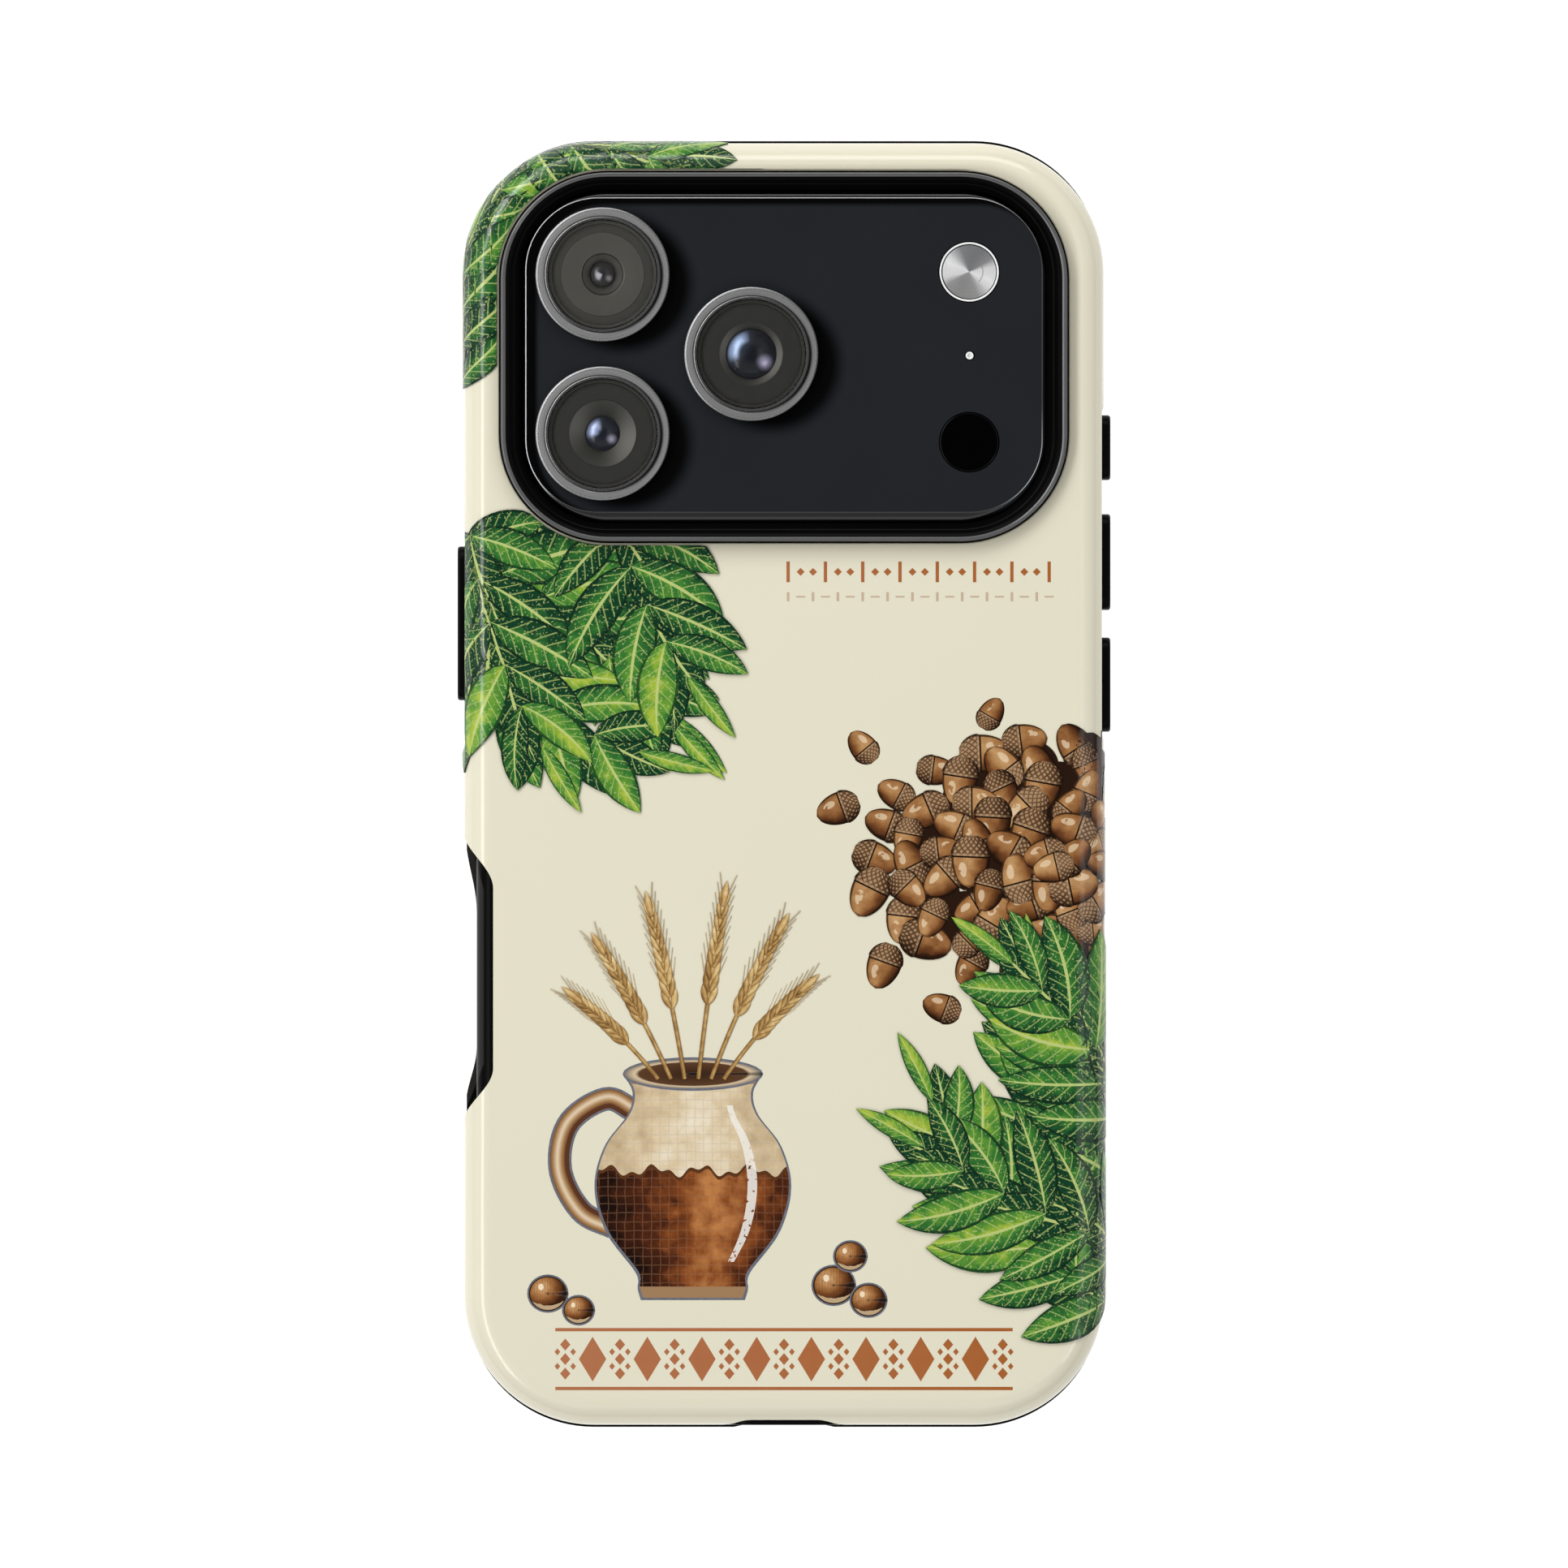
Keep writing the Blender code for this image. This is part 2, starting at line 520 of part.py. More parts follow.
build_liner(material("black_rubber", (0.006, 0.006, 0.006), 0.45))
build_shell(material("cream_gloss_shell", (0.8, 0.76, 0.6), 0.12))
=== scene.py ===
import math
from functools import partialmethod

import bmesh
import bpy
import numpy as np
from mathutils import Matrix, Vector


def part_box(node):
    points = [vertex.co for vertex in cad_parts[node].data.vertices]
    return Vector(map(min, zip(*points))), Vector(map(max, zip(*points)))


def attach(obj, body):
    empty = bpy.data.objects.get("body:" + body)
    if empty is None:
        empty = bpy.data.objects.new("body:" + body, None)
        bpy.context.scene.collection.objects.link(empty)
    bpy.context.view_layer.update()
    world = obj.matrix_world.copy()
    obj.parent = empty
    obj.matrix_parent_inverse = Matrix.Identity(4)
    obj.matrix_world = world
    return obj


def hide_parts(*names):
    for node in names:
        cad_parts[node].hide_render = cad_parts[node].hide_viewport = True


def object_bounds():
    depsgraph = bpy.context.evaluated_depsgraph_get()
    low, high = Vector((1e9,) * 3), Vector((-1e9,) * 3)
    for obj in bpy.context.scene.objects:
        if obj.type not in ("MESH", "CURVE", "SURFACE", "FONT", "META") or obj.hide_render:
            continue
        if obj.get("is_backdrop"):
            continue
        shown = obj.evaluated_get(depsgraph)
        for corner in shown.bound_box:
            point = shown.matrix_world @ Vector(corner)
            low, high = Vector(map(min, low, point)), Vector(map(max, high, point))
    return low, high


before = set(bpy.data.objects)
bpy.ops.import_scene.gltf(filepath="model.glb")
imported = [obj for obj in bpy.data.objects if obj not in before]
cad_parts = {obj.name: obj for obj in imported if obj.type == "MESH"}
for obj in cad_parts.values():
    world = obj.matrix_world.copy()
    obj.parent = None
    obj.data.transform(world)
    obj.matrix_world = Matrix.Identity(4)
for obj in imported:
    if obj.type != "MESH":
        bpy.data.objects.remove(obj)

cad_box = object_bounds()
MM = 0.001

# Camera and studio: a long lens straight above the back, and soft panels of light round a dark ceiling.
# A strip on the left and one at the top draw the bright lines along the rolled edges.
PHOTO_SIDE = 1932
PHOTO_PX_PER_MM = 10.21
LENS_LENGTH = 1400
SENSOR = 36

back_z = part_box("printed_shell")[1].z
field = PHOTO_SIDE / PHOTO_PX_PER_MM * MM
camera_data = bpy.data.cameras.new("camera")
camera_data.lens = LENS_LENGTH
camera_data.sensor_width = SENSOR
camera = bpy.data.objects.new("camera", camera_data)
camera.location = (0, 0, back_z + field * LENS_LENGTH / SENSOR)
bpy.context.scene.collection.objects.link(camera)
bpy.context.scene.camera = camera
bpy.context.scene.view_settings.view_transform = "Standard"


def panel(name, compass, tilt, height, width, radiance, distance=1.2):
    """A soft light facing the object, at a compass angle from +X and a tilt from the vertical, in degrees.
    Height is what it spans in tilt and width what it spans across, both in degrees seen from the object."""
    around, down = math.radians(compass), math.radians(tilt)
    place = Vector((math.sin(down) * math.cos(around), math.sin(down) * math.sin(around), math.cos(down)))
    data = bpy.data.lights.new(name, "AREA")
    data.shape = "RECTANGLE"
    data.size = 2 * distance * math.tan(math.radians(width / 2))
    data.size_y = 2 * distance * math.tan(math.radians(height / 2))
    data.energy = radiance * math.pi * data.size * data.size_y
    lamp = bpy.data.objects.new(name, data)
    lamp.location = place * distance
    lamp.rotation_euler = (-place).to_track_quat("-Z", "Y").to_euler()
    lamp.visible_camera = False
    bpy.context.scene.collection.objects.link(lamp)


panel("left_strip", 177, 37, 11, 75, 4.5)
panel("top_strip", 92, 56, 18, 50, 3.0)
panel("corner_key", 134, 46, 20, 24, 3.0, distance=0.75)
panel("right_fill", 350, 20, 16, 36, 0.8)
panel("front_fill", 270, 43, 12, 60, 0.6)
panel("low_fill", 328, 38, 10, 10, 3.0)


def rgba(colour):
    """A colour or a grey level, with full opacity."""
    return (*colour, 1) if isinstance(colour, tuple) else (colour, colour, colour, 1)


class Wire:
    """An output of a shader node. Arithmetic on it adds Math nodes beside it."""

    def __init__(self, socket):
        self.socket = socket
        self.tree = socket.id_data

    @classmethod
    def node(cls, tree, kind, settings=None, inputs=None, output=0):
        """Adds a node, with its settings (a ramp's under "stops"), then the values or wires of its inputs."""
        made = tree.nodes.new(kind)
        for key, value in (settings or {}).items():
            if key == "stops":
                stops = made.color_ramp.elements
                while len(stops) < len(value):
                    stops.new(1.0)
                for stop, (place, colour) in zip(stops, value):
                    stop.position = place
                    stop.color = rgba(colour)
            else:
                setattr(made, key, value)
        for key, value in (inputs or {}).items():
            if isinstance(value, Wire):
                tree.links.new(value.socket, made.inputs[key])
            else:
                made.inputs[key].default_value = value
        return cls(made.outputs[output])

    def math(self, operation, *others):
        """One Math node on this wire and the others, in order."""
        values = dict(enumerate((self, *others)))
        return Wire.node(self.tree, "ShaderNodeMath", {"operation": operation}, values)

    def ramp(self, *stops):
        """A colour ramp over this wire. A stop is a place with a grey level or a colour."""
        return Wire.node(self.tree, "ShaderNodeValToRGB", {"stops": stops}, {0: self})

    def axis(self, which):
        """One of the three components of a vector wire, 0 to 2."""
        return Wire.node(self.tree, "ShaderNodeSeparateXYZ", None, {0: self}, which)

    def __rsub__(self, other):
        return self.math("MULTIPLY_ADD", -1.0, other)

    __add__ = __radd__ = partialmethod(math, "ADD")
    __sub__ = partialmethod(math, "SUBTRACT")
    __mul__ = __rmul__ = partialmethod(math, "MULTIPLY")
    __truediv__ = partialmethod(math, "DIVIDE")
    __pow__ = partialmethod(math, "POWER")
    __abs__ = partialmethod(math, "ABSOLUTE")
    __gt__ = partialmethod(math, "GREATER_THAN")
    __lt__ = partialmethod(math, "LESS_THAN")
    at_least = partialmethod(math, "MAXIMUM")
    at_most = partialmethod(math, "MINIMUM")


world = bpy.data.worlds.new("studio")
world.use_nodes = True
sky = world.node_tree.nodes["Background"]
rise = Wire.node(world.node_tree, "ShaderNodeTexCoord").axis(2)
dome = rise.ramp((0.0, 0.14), (0.25, 0.26), (0.50, 0.62), (0.90, 0.62), (0.965, 0.05), (1.0, 0.04))
world.node_tree.links.new(dome.socket, sky.inputs["Color"])
bpy.context.scene.world = world


# The table: a plain sheet that is lit from below, so that it looks white and no shadow darkens it. It is
# stage only.
TABLE_REACH = 12.0
TABLE_GLOW = 0.97


def finish(name, roughness, metallic=0.0, specular=0.5, **constants):
    """A new Principled material, its shader and the object's coordinates in millimetres."""
    made = bpy.data.materials.new(name)
    made.use_nodes = True
    tree = made.node_tree
    shader = tree.nodes["Principled BSDF"]
    values = {"Roughness": roughness, "Metallic": metallic, "Specular IOR Level": specular}
    for key, value in {**values, **constants}.items():
        shader.inputs[key.replace("_", " ")].default_value = value
    metres = Wire.node(tree, "ShaderNodeTexCoord", output=3)
    place = Wire.node(tree, "ShaderNodeVectorMath", {"operation": "SCALE"}, {0: metres, "Scale": 1 / MM})
    return made, shader, place


def feed(shader, **wires):
    """Joins wires to the shader's sockets by name."""
    for key, wire in wires.items():
        shader.id_data.links.new(wire.socket, shader.inputs[key.replace("_", " ")])


def noise(place, per_mm, detail=2.0):
    """Fractal noise between 0 and 1, with about per_mm bumps on each millimetre."""
    values = {"Vector": place, "Scale": per_mm, "Detail": detail}
    return Wire.node(place.tree, "ShaderNodeTexNoise", None, values)


def tint(amount, first, second):
    """The first colour or grey level where amount is 0, the second where it is 1."""
    values = {0: amount}
    for key, colour in ((6, first), (7, second)):
        values[key] = colour if isinstance(colour, Wire) else rgba(colour)
    return Wire.node(amount.tree, "ShaderNodeMix", {"data_type": "RGBA"}, values, output=2)


def coats(base, *layers):
    """A colour with layers over it, each an amount and a colour."""
    for amount, colour in layers:
        base = tint(amount, base, colour)
    return base


def relief(height, strength, depth_mm):
    """A Bump node over a height wire, whose full range is depth_mm deep."""
    values = {"Strength": strength, "Distance": depth_mm * MM, "Height": height}
    return Wire.node(height.tree, "ShaderNodeBump", None, values)


reach = TABLE_REACH
table_mesh = bpy.data.meshes.new("table")
corners = [(-reach, -reach, 0), (reach, -reach, 0), (reach, reach, 0), (-reach, reach, 0)]
table_mesh.from_pydata(corners, [], [(0, 1, 2, 3)])
table = bpy.data.objects.new("table", table_mesh)
bpy.context.scene.collection.objects.link(table)
paper, shader, place = finish("white_sheet", 0.9, specular=0.1, Emission_Strength=TABLE_GLOW)
grain = noise(place, 0.4)
feed(shader, Base_Color=tint(grain, 0.24, (0.26, 0.26, 0.258)))
shader.inputs["Emission Color"].default_value = (1, 1, 1, 1)
table_mesh.materials.append(paper)
table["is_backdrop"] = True


# Outer shell: one hard glossy moulding in cream, with a camera window, a notch, button slots and a port
# scoop. Its rolled edge carries the print round onto the sides. It snaps over the rubber liner. From here
# on every size is in millimetres.


def box_mm(node):
    """The low and the high corner of a solid's box, in millimetres."""
    return [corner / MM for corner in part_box(node)]


shell_low, shell_high = box_mm("printed_shell")
RIM_SHOWS = 0.1
SHELL_HALF = (shell_high.x, shell_high.y - RIM_SHOWS)
SHELL_CORNER = 15.7
SHELL_BACK_Z = shell_high.z
SHELL_FRONT_Z = shell_low.z
SHELL_THICK = 1.3
SHELL_ROLL = 3.2
SHELL_EDGE = 0.25
INNER_HALF = (37.3, 76.35)
INNER_CORNER = 14.4
INNER_ROLL = 2.2
WINDOW_CENTRE = (0.0, 51.53)
WINDOW_HALF = (34.36, 22.43)
WINDOW_CORNER = 13.1
NEAR = 0.03
CREAM = (0.748, 0.710, 0.556)
PALE_CREAM = (0.767, 0.729, 0.575)
DARK_CREAM = (0.74, 0.69, 0.52)


def outline(half, corner, centre=(0.0, 0.0), inset=0.0, steps=24):
    """A rounded rectangle, anticlockwise, as (n, 2): a quarter circle about each corner's centre."""
    inner = np.array(half) - inset
    radius = corner - inset
    turn = np.radians(np.linspace(0, 90, steps + 1))
    quarters = []
    for k, sign in enumerate(((1, 1), (-1, 1), (-1, -1), (1, -1))):
        arc = np.column_stack((np.cos(turn + k * np.pi / 2), np.sin(turn + k * np.pi / 2)))
        quarters.append(np.array(centre) + np.array(sign) * (inner - radius) + radius * arc)
    return np.vstack(quarters)


def level(half, corner, z, centre=(0.0, 0.0), inset=0.0, steps=24):
    """The same outline lifted to height z, as (n, 3)."""
    flat = outline(half, corner, centre, inset, steps)
    return np.column_stack((flat, np.full(len(flat), z)))


def roll(half, corner, centre_z, radius, start, end, count, steps=24):
    """Levels round an edge: at angle a the inset is radius (1 - cos a) and the rise radius sin a."""
    turns = np.radians(np.linspace(start, end, count + 1))
    rows = [(radius * (1 - math.cos(a)), centre_z + radius * math.sin(a)) for a in turns]
    return [level(half, corner, z, inset=inset, steps=steps) for inset, z in rows]


def weld(mesh, reach):
    """Joins points of a mesh that lie closer than reach, in metres, and returns its signed volume."""
    shape = bmesh.new()
    shape.from_mesh(mesh)
    bmesh.ops.remove_doubles(shape, verts=shape.verts, dist=reach)
    volume = shape.calc_volume(signed=True)
    shape.to_mesh(mesh)
    shape.free()
    return volume


def shown(name, mesh, paint, sharp):
    """Puts a mesh into the scene, smooth but for edges of more than sharp degrees."""
    mesh.shade_smooth()
    mesh.set_sharp_from_angle(angle=math.radians(sharp))
    if paint:
        mesh.materials.append(paint)
    made = bpy.data.objects.new(name, mesh)
    bpy.context.scene.collection.objects.link(made)
    return made


def solid(name, rows, paint, ring=False, sharp=32):
    """A closed mesh through equal loops in millimetres. A ring joins the last loop to the first;
    else both ends get a cap. If the volume comes out negative, every face is turned round."""
    rows = np.array(rows)
    count, size = rows.shape[:2]
    i, j = np.meshgrid(np.arange(count if ring else count - 1), np.arange(size), indexing="ij")
    below, above = i * size, (i + 1) % count * size
    after = (j + 1) % size
    faces = np.stack((below + j, below + after, above + after, above + j), -1).reshape(-1, 4).tolist()
    if not ring:
        faces += [list(range(size))[::-1], list(range((count - 1) * size, count * size))]
    mesh = bpy.data.meshes.new(name)
    mesh.from_pydata((rows.reshape(-1, 3) * MM).tolist(), [], faces)
    if weld(mesh, 1e-7) < 0:
        mesh.flip_normals()
    return shown(name, mesh, paint, sharp)


def bar(name, axis, middle, half, corner, sections, steps=8):
    """A rounded bar along X or Y. Its outline lies across the axis, and sections are (place, inset) pairs."""
    rows = []
    for place, inset in sections:
        flat = outline(half, corner, middle, inset, steps)
        fixed = np.full(len(flat), place)
        columns = (fixed, flat[:, 0], flat[:, 1]) if axis == "x" else (flat[:, 0], fixed, flat[:, 1])
        rows.append(np.column_stack(columns))
    return solid(name, rows, None)


def ramped(name, places, floor_at, mouth, far, heights, axis="x", steps=24):
    """A cutter along one side: in plan it runs from mouth to floor on half a cosine wave, and back."""
    start, down, up, end = places
    share = (1 - np.cos(np.linspace(0, np.pi, steps + 1))) / 2
    depth = mouth + (floor_at - mouth) * share
    there = np.column_stack((depth, np.linspace(start, down, steps + 1)))
    back = np.column_stack((depth[::-1], np.linspace(up, end, steps + 1)))
    plan = np.vstack(([far, start], there, back, [far, end]))
    if axis == "y":
        plan = plan[:, ::-1]
    return solid(name, [np.column_stack((plan, np.full(len(plan), z))) for z in heights], None)


def carve(piece, tools, sharp=32):
    """Applies one Boolean for each (tool, operation) pair and removes the tools."""
    for tool, operation in tools:
        change = piece.modifiers.new(tool.name, "BOOLEAN")
        change.operation = operation
        change.object = tool
    bpy.context.view_layer.update()
    whole = bpy.data.meshes.new_from_object(piece.evaluated_get(bpy.context.evaluated_depsgraph_get()))
    piece.modifiers.clear()
    piece.data = whole
    whole.shade_smooth()
    whole.set_sharp_from_angle(angle=math.radians(sharp))
    for tool, _ in tools:
        bpy.data.objects.remove(tool)


PHONE_MID_Z = 0.9 + 8.75 / 2
BUTTONS = ((-1, 28.7, 10.1), (1, 44.55, 36.7), (1, 32.6, 21.0), (1, 17.7, 6.3))
BUTTON_HALF_HEIGHT = 2.0
BUTTON_END = 1.6
SLOT_ROOM = 0.35
DISH_DEPTH = 0.25
DISH_END = 1.7
DISH_TOP = 10.4
NOTCH_PLACES = (-5.4, -12.6, -34.3, -41.1)
NOTCH_FLOOR = -35.1
PORT_DISH = (-7.8, -4.0, 4.0, 7.8)
PORT_DISH_DEPTH = 0.42
PORT_DISH_TOP = 11.6
SCOOP_HALF = 7.1
SCOOP_TOP = 11.05
SCOOP_CORNER = 3.1
SOUND_X = 15.2
SOUND_HALF = (4.2, 1.0)

window_top = SHELL_BACK_Z - SHELL_EDGE
rows = [level(WINDOW_HALF, WINDOW_CORNER, SHELL_BACK_Z - SHELL_THICK, WINDOW_CENTRE)]
for a in np.radians(np.linspace(0, 90, 6)):
    grown = -SHELL_EDGE * 0.8 * (1 - math.cos(a))
    z = window_top + SHELL_EDGE * math.sin(a)
    rows.append(level(WINDOW_HALF, WINDOW_CORNER, z, WINDOW_CENTRE, grown))
rows.append(level(WINDOW_HALF, WINDOW_CORNER, SHELL_BACK_Z, WINDOW_CENTRE, grown - NEAR))
rows.append(level(SHELL_HALF, SHELL_CORNER, SHELL_BACK_Z, inset=SHELL_ROLL + NEAR))
rows += roll(SHELL_HALF, SHELL_CORNER, SHELL_BACK_Z - SHELL_ROLL, SHELL_ROLL, 90, 0, 20)
rows += roll(SHELL_HALF, SHELL_CORNER, SHELL_FRONT_Z + SHELL_EDGE, SHELL_EDGE, 0, -90, 4)
rows.append(level(INNER_HALF, INNER_CORNER, SHELL_FRONT_Z))
inner_top = SHELL_BACK_Z - SHELL_THICK - INNER_ROLL
rows += roll(INNER_HALF, INNER_CORNER, inner_top, INNER_ROLL, 0, 90, 8)

gloss, shader, place = finish("cream_gloss_shell", 0.1, specular=0.5)
cloud = noise(place, 0.05, detail=3)
fleck = noise(place, 2.5, detail=2)
base = tint(cloud, CREAM, PALE_CREAM)
feed(shader, Base_Color=tint(fleck * 0.10, base, DARK_CREAM), Roughness=0.085 + fleck * 0.03)
feed(shader, Normal=relief(noise(place, 0.35, detail=1), 0.05, 0.01))
shell = solid("shell", rows, gloss, ring=True)

mouth, far = [-SHELL_HALF[0] - more for more in (0.15, 1)]
tools = [ramped("notch", NOTCH_PLACES, NOTCH_FLOOR, mouth, far, (0, SHELL_BACK_Z + 1))]
for side, upper, lower in BUTTONS:
    half = ((upper - lower) / 2 + SLOT_ROOM, BUTTON_HALF_HEIGHT + SLOT_ROOM)
    cut = [(side * (INNER_HALF[0] - 1), 0), (side * (SHELL_HALF[0] - DISH_DEPTH - 0.1), 0)]
    cut.append((side * (SHELL_HALF[0] + 0.4), -0.6))
    middle = ((upper + lower) / 2, PHONE_MID_Z)
    tools.append(bar("slot", "x", middle, half, BUTTON_END + SLOT_ROOM, cut))
for side in (-1, 1):
    upper = max(b[1] for b in BUTTONS if b[0] == side)
    lower = min(b[2] for b in BUTTONS if b[0] == side)
    places = (upper + DISH_END, upper, lower, lower - DISH_END)
    floor_at, mouth, far = [side * (SHELL_HALF[0] + more) for more in (-DISH_DEPTH, 0.1, 1)]
    tools.append(ramped("dish", places, floor_at, mouth, far, (0, DISH_TOP)))
ends = [(-SHELL_HALF[1] - 1, 0), (-INNER_HALF[1] + 1, 0)]
middle = (0.0, (SCOOP_TOP - 1) / 2)
tools.append(bar("scoop", "y", middle, (SCOOP_HALF, (SCOOP_TOP + 1) / 2), SCOOP_CORNER, ends))
for side in (-1, 1):
    tools.append(bar("sound", "y", (side * SOUND_X, PHONE_MID_Z), SOUND_HALF, SOUND_HALF[1] * 0.98, ends))
floor_at, mouth, far = [-SHELL_HALF[1] + more for more in (PORT_DISH_DEPTH, -0.02, -1)]
tools.append(ramped("port_dish", PORT_DISH, floor_at, mouth, far, (0, PORT_DISH_TOP), axis="y"))
carve(shell, [(tool, "DIFFERENCE") for tool in tools])
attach(shell, "root")
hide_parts("printed_shell")


# Rubber liner: one soft black moulding round the phone. Its lip stands up round the cameras, its rim
# runs past the screen, and the four button humps and the port boss are part of it.
LIP_CENTRE = WINDOW_CENTRE
LIP_HALF = (34.19, 22.26)
LIP_CORNER = 12.93
BORE_CENTRE = (-0.05, 51.6)
BORE_HALF = (31.7, 20.1)
BORE_CORNER = 10.35
LINER_HALF = (37.1, 76.15)
LINER_CORNER = 14.2
LINER_ROLL = 2.0
LINER_BACK_Z = 10.85
liner_high = box_mm("rubber_liner")[1]
RIM_HALF = (38.35, liner_high.y + 0.06)
RIM_CORNER = 15.35
RIM_TOP = 1.5
RIM_EDGE = 0.45
RIM_TOP_EDGE = 0.06
RIM_NOTCH = (-5.8, -15.6, -31.6, -39.2)
RIM_NOTCH_FLOOR = -37.14
RIM_DIP = (-7.25, -4.2, 4.2, 7.25)
PHONE_HALF = (35.95, 75.0)
PHONE_CORNER = 13.05
SCREEN_Z = 0.9
PANEL_Z = 9.8
GAP = 0.15
HUG = 2.75
FRONT_LIP = ((0, 0.4), (0.08, 0.68), (0.3, 0.85), (SCREEN_Z - GAP, 0.85), (SCREEN_Z - GAP, -GAP))
HUMP_ROUND = 0.32
BOSS_Y = -77.38
KEY_Y = -23.9
KEY_WINDOW_HALF = (9.3, 2.8)
PLUG_HALF = (6.0, 2.9)
GREY_LINE = -36.35
GREY_WIDTH = 0.2
GREY_STRAIGHT = (-33.8, -12.7)
GREY_ENDS = (-40.5, -5.0)
NOTCH_SHEEN_GREY = (0.026, 0.024, 0.023)
LIP_WIDTH = 2.4
BEAD_LOW = 14.05
LIP_PROFILE = (
    (2.40, 11.90), (2.30, 12.02), (2.00, 12.47), (1.66, 13.02), (1.60, 13.08), (1.48, 13.14),
    (1.42, 13.22), (1.20, 13.58), (1.10, 13.73), (1.02, 13.80), (0.90, 13.87), (0.74, 13.97),
    (0.60, 14.05), (0.54, 14.09), (0.48, 14.115), (0.40, 14.142), (0.32, 14.165), (0.27, 14.18),
    (0.23, 14.185), (0.18, 14.175), (0.11, 14.15), (0.05, 14.12), (0.015, 14.08), (0.0, 14.02),
)


def smooth(points, per_span=4):
    """A Catmull-Rom curve through rows of numbers: each span is a cubic whose slopes are half the chord
    between its neighbours."""
    p = np.array(points, float)
    p = np.vstack((2 * p[0] - p[1], p, 2 * p[-1] - p[-2]))
    t = np.linspace(0, 1, per_span, endpoint=False)[:, None, None]
    a, b, c, d = p[:-3], p[1:-2], p[2:-1], p[3:]
    spans = 0.5 * (2 * b + (c - a) * t + (2 * a - 5 * b + 4 * c - d) * t**2 + (3 * b - a - 3 * c + d) * t**3)
    return np.vstack((spans.transpose(1, 0, 2).reshape(-1, p.shape[1]), p[-2]))


def blob(reach):
    """A soft spot: 1 where reach is 0, falling as a smooth step to 0 where it is 1 and beyond."""
    return Wire.node(reach.tree, "ShaderNodeMapRange", {"interpolation_type": "SMOOTHSTEP"}, {0: 1 - reach})


def between(first, last, share):
    """The numbers share of the way from the first to the last."""
    return [a + (b - a) * share for a, b in zip(first, last)]


def lip_level(share, z):
    """A level of the camera lip, mixed between its bore (share 0) and its outer face (share 1)."""
    half = between(BORE_HALF, LIP_HALF, share)
    corner = BORE_CORNER + (LIP_CORNER - BORE_CORNER) * share
    return level(half, corner, z, between(BORE_CENTRE, LIP_CENTRE, share))


rubber, shader, place = finish("black_rubber", 0.3, specular=0.05, Coat_Roughness=0.12)
skin = noise(place, 9.0, detail=2)
patch = noise(place, 0.12, detail=3)
x, y, z = [place.axis(k) for k in (0, 1, 2)]
bead = ((z - BEAD_LOW) * 30).at_most(1.0).at_least(0.0)
base = tint(patch, (0.0016, 0.0016, 0.0015), (0.0027, 0.0027, 0.0026))
# A thin grey band along the notch is a painted highlight on the black rubber.
past_top = (y - GREY_STRAIGHT[1]).at_least(0.0) * 0.28
past_foot = (GREY_STRAIGHT[0] - y).at_least(0.0) * 0.40
band = blob((x - GREY_LINE + past_top + past_foot) / GREY_WIDTH)
notch = (y > GREY_ENDS[0]) * (y < GREY_ENDS[1]) * (x < 0)
base = tint(band * notch, base, NOTCH_SHEEN_GREY)
# The top of the bead is a lighter grey, a painted highlight, under its real clear coat.
feed(shader, Base_Color=tint(bead, base, 0.075), Coat_Weight=bead)
feed(shader, Roughness=0.24 + patch * 0.06 + skin * 0.05)
feed(shader, Normal=relief(skin, 0.25, 0.012))

rows = [lip_level(1 - depth / LIP_WIDTH, z) for depth, z in smooth(LIP_PROFILE, 3)]
rows.append(lip_level(1.0, LINER_BACK_Z))
rows += roll(LINER_HALF, LINER_CORNER, LINER_BACK_Z - LINER_ROLL, LINER_ROLL, 90, 0, 12)
rows.append(level(LINER_HALF, LINER_CORNER, RIM_TOP))
rows += roll(RIM_HALF, RIM_CORNER, RIM_TOP - RIM_TOP_EDGE, RIM_TOP_EDGE, 90, 0, 3)
rows += roll(RIM_HALF, RIM_CORNER, RIM_EDGE, RIM_EDGE, 0, -90, 6)
for z, inset in FRONT_LIP:
    rows.append(level(PHONE_HALF, PHONE_CORNER, z, inset=inset))
hug_half = (PHONE_HALF[0] + GAP, PHONE_HALF[1] + GAP)
rows += roll(hug_half, PHONE_CORNER + GAP, PANEL_Z - HUG, HUG, 0, 90, 8)
rows.append(level(BORE_HALF, BORE_CORNER, PANEL_Z, BORE_CENTRE))
liner = solid("liner", rows, rubber, ring=True)

button_x = liner_high.x
hump = [(LINER_HALF[0] - 0.3, 0.0), (button_x - HUMP_ROUND, 0.0)]
for a in np.radians((20, 45, 65, 80, 90)):
    hump.append((button_x - HUMP_ROUND * (1 - math.sin(a)), HUMP_ROUND * (1 - math.cos(a))))
tools = []
for side, upper, lower in BUTTONS:
    half = ((upper - lower) / 2, BUTTON_HALF_HEIGHT)
    middle = ((upper + lower) / 2, PHONE_MID_Z)
    sections = [(side * x, inset) for x, inset in hump]
    tools.append((bar("hump", "x", middle, half, BUTTON_END, sections), "UNION"))
boss_half = (SCOOP_HALF - 0.2, (SCOOP_TOP - 0.35 - RIM_TOP / 2) / 2)
boss = [(-LINER_HALF[1] + 0.3, 0), (BOSS_Y + 0.2, 0), (BOSS_Y + 0.06, 0.06), (BOSS_Y, 0.2)]
middle = (0.0, RIM_TOP / 2 + boss_half[1])
tools.append((bar("boss", "y", middle, boss_half, SCOOP_CORNER - 0.2, boss), "UNION"))
heights = (-1, RIM_TOP + GAP)
mouth, far = [-RIM_HALF[0] - more for more in (GAP, 1)]
tools.append((ramped("rim_notch", RIM_NOTCH, RIM_NOTCH_FLOOR, mouth, far, heights), "DIFFERENCE"))
mouth, far = [-RIM_HALF[1] - more for more in (GAP, 1)]
tools.append((ramped("rim_dip", RIM_DIP, BOSS_Y - 0.02, mouth, far, heights, axis="y"), "DIFFERENCE"))
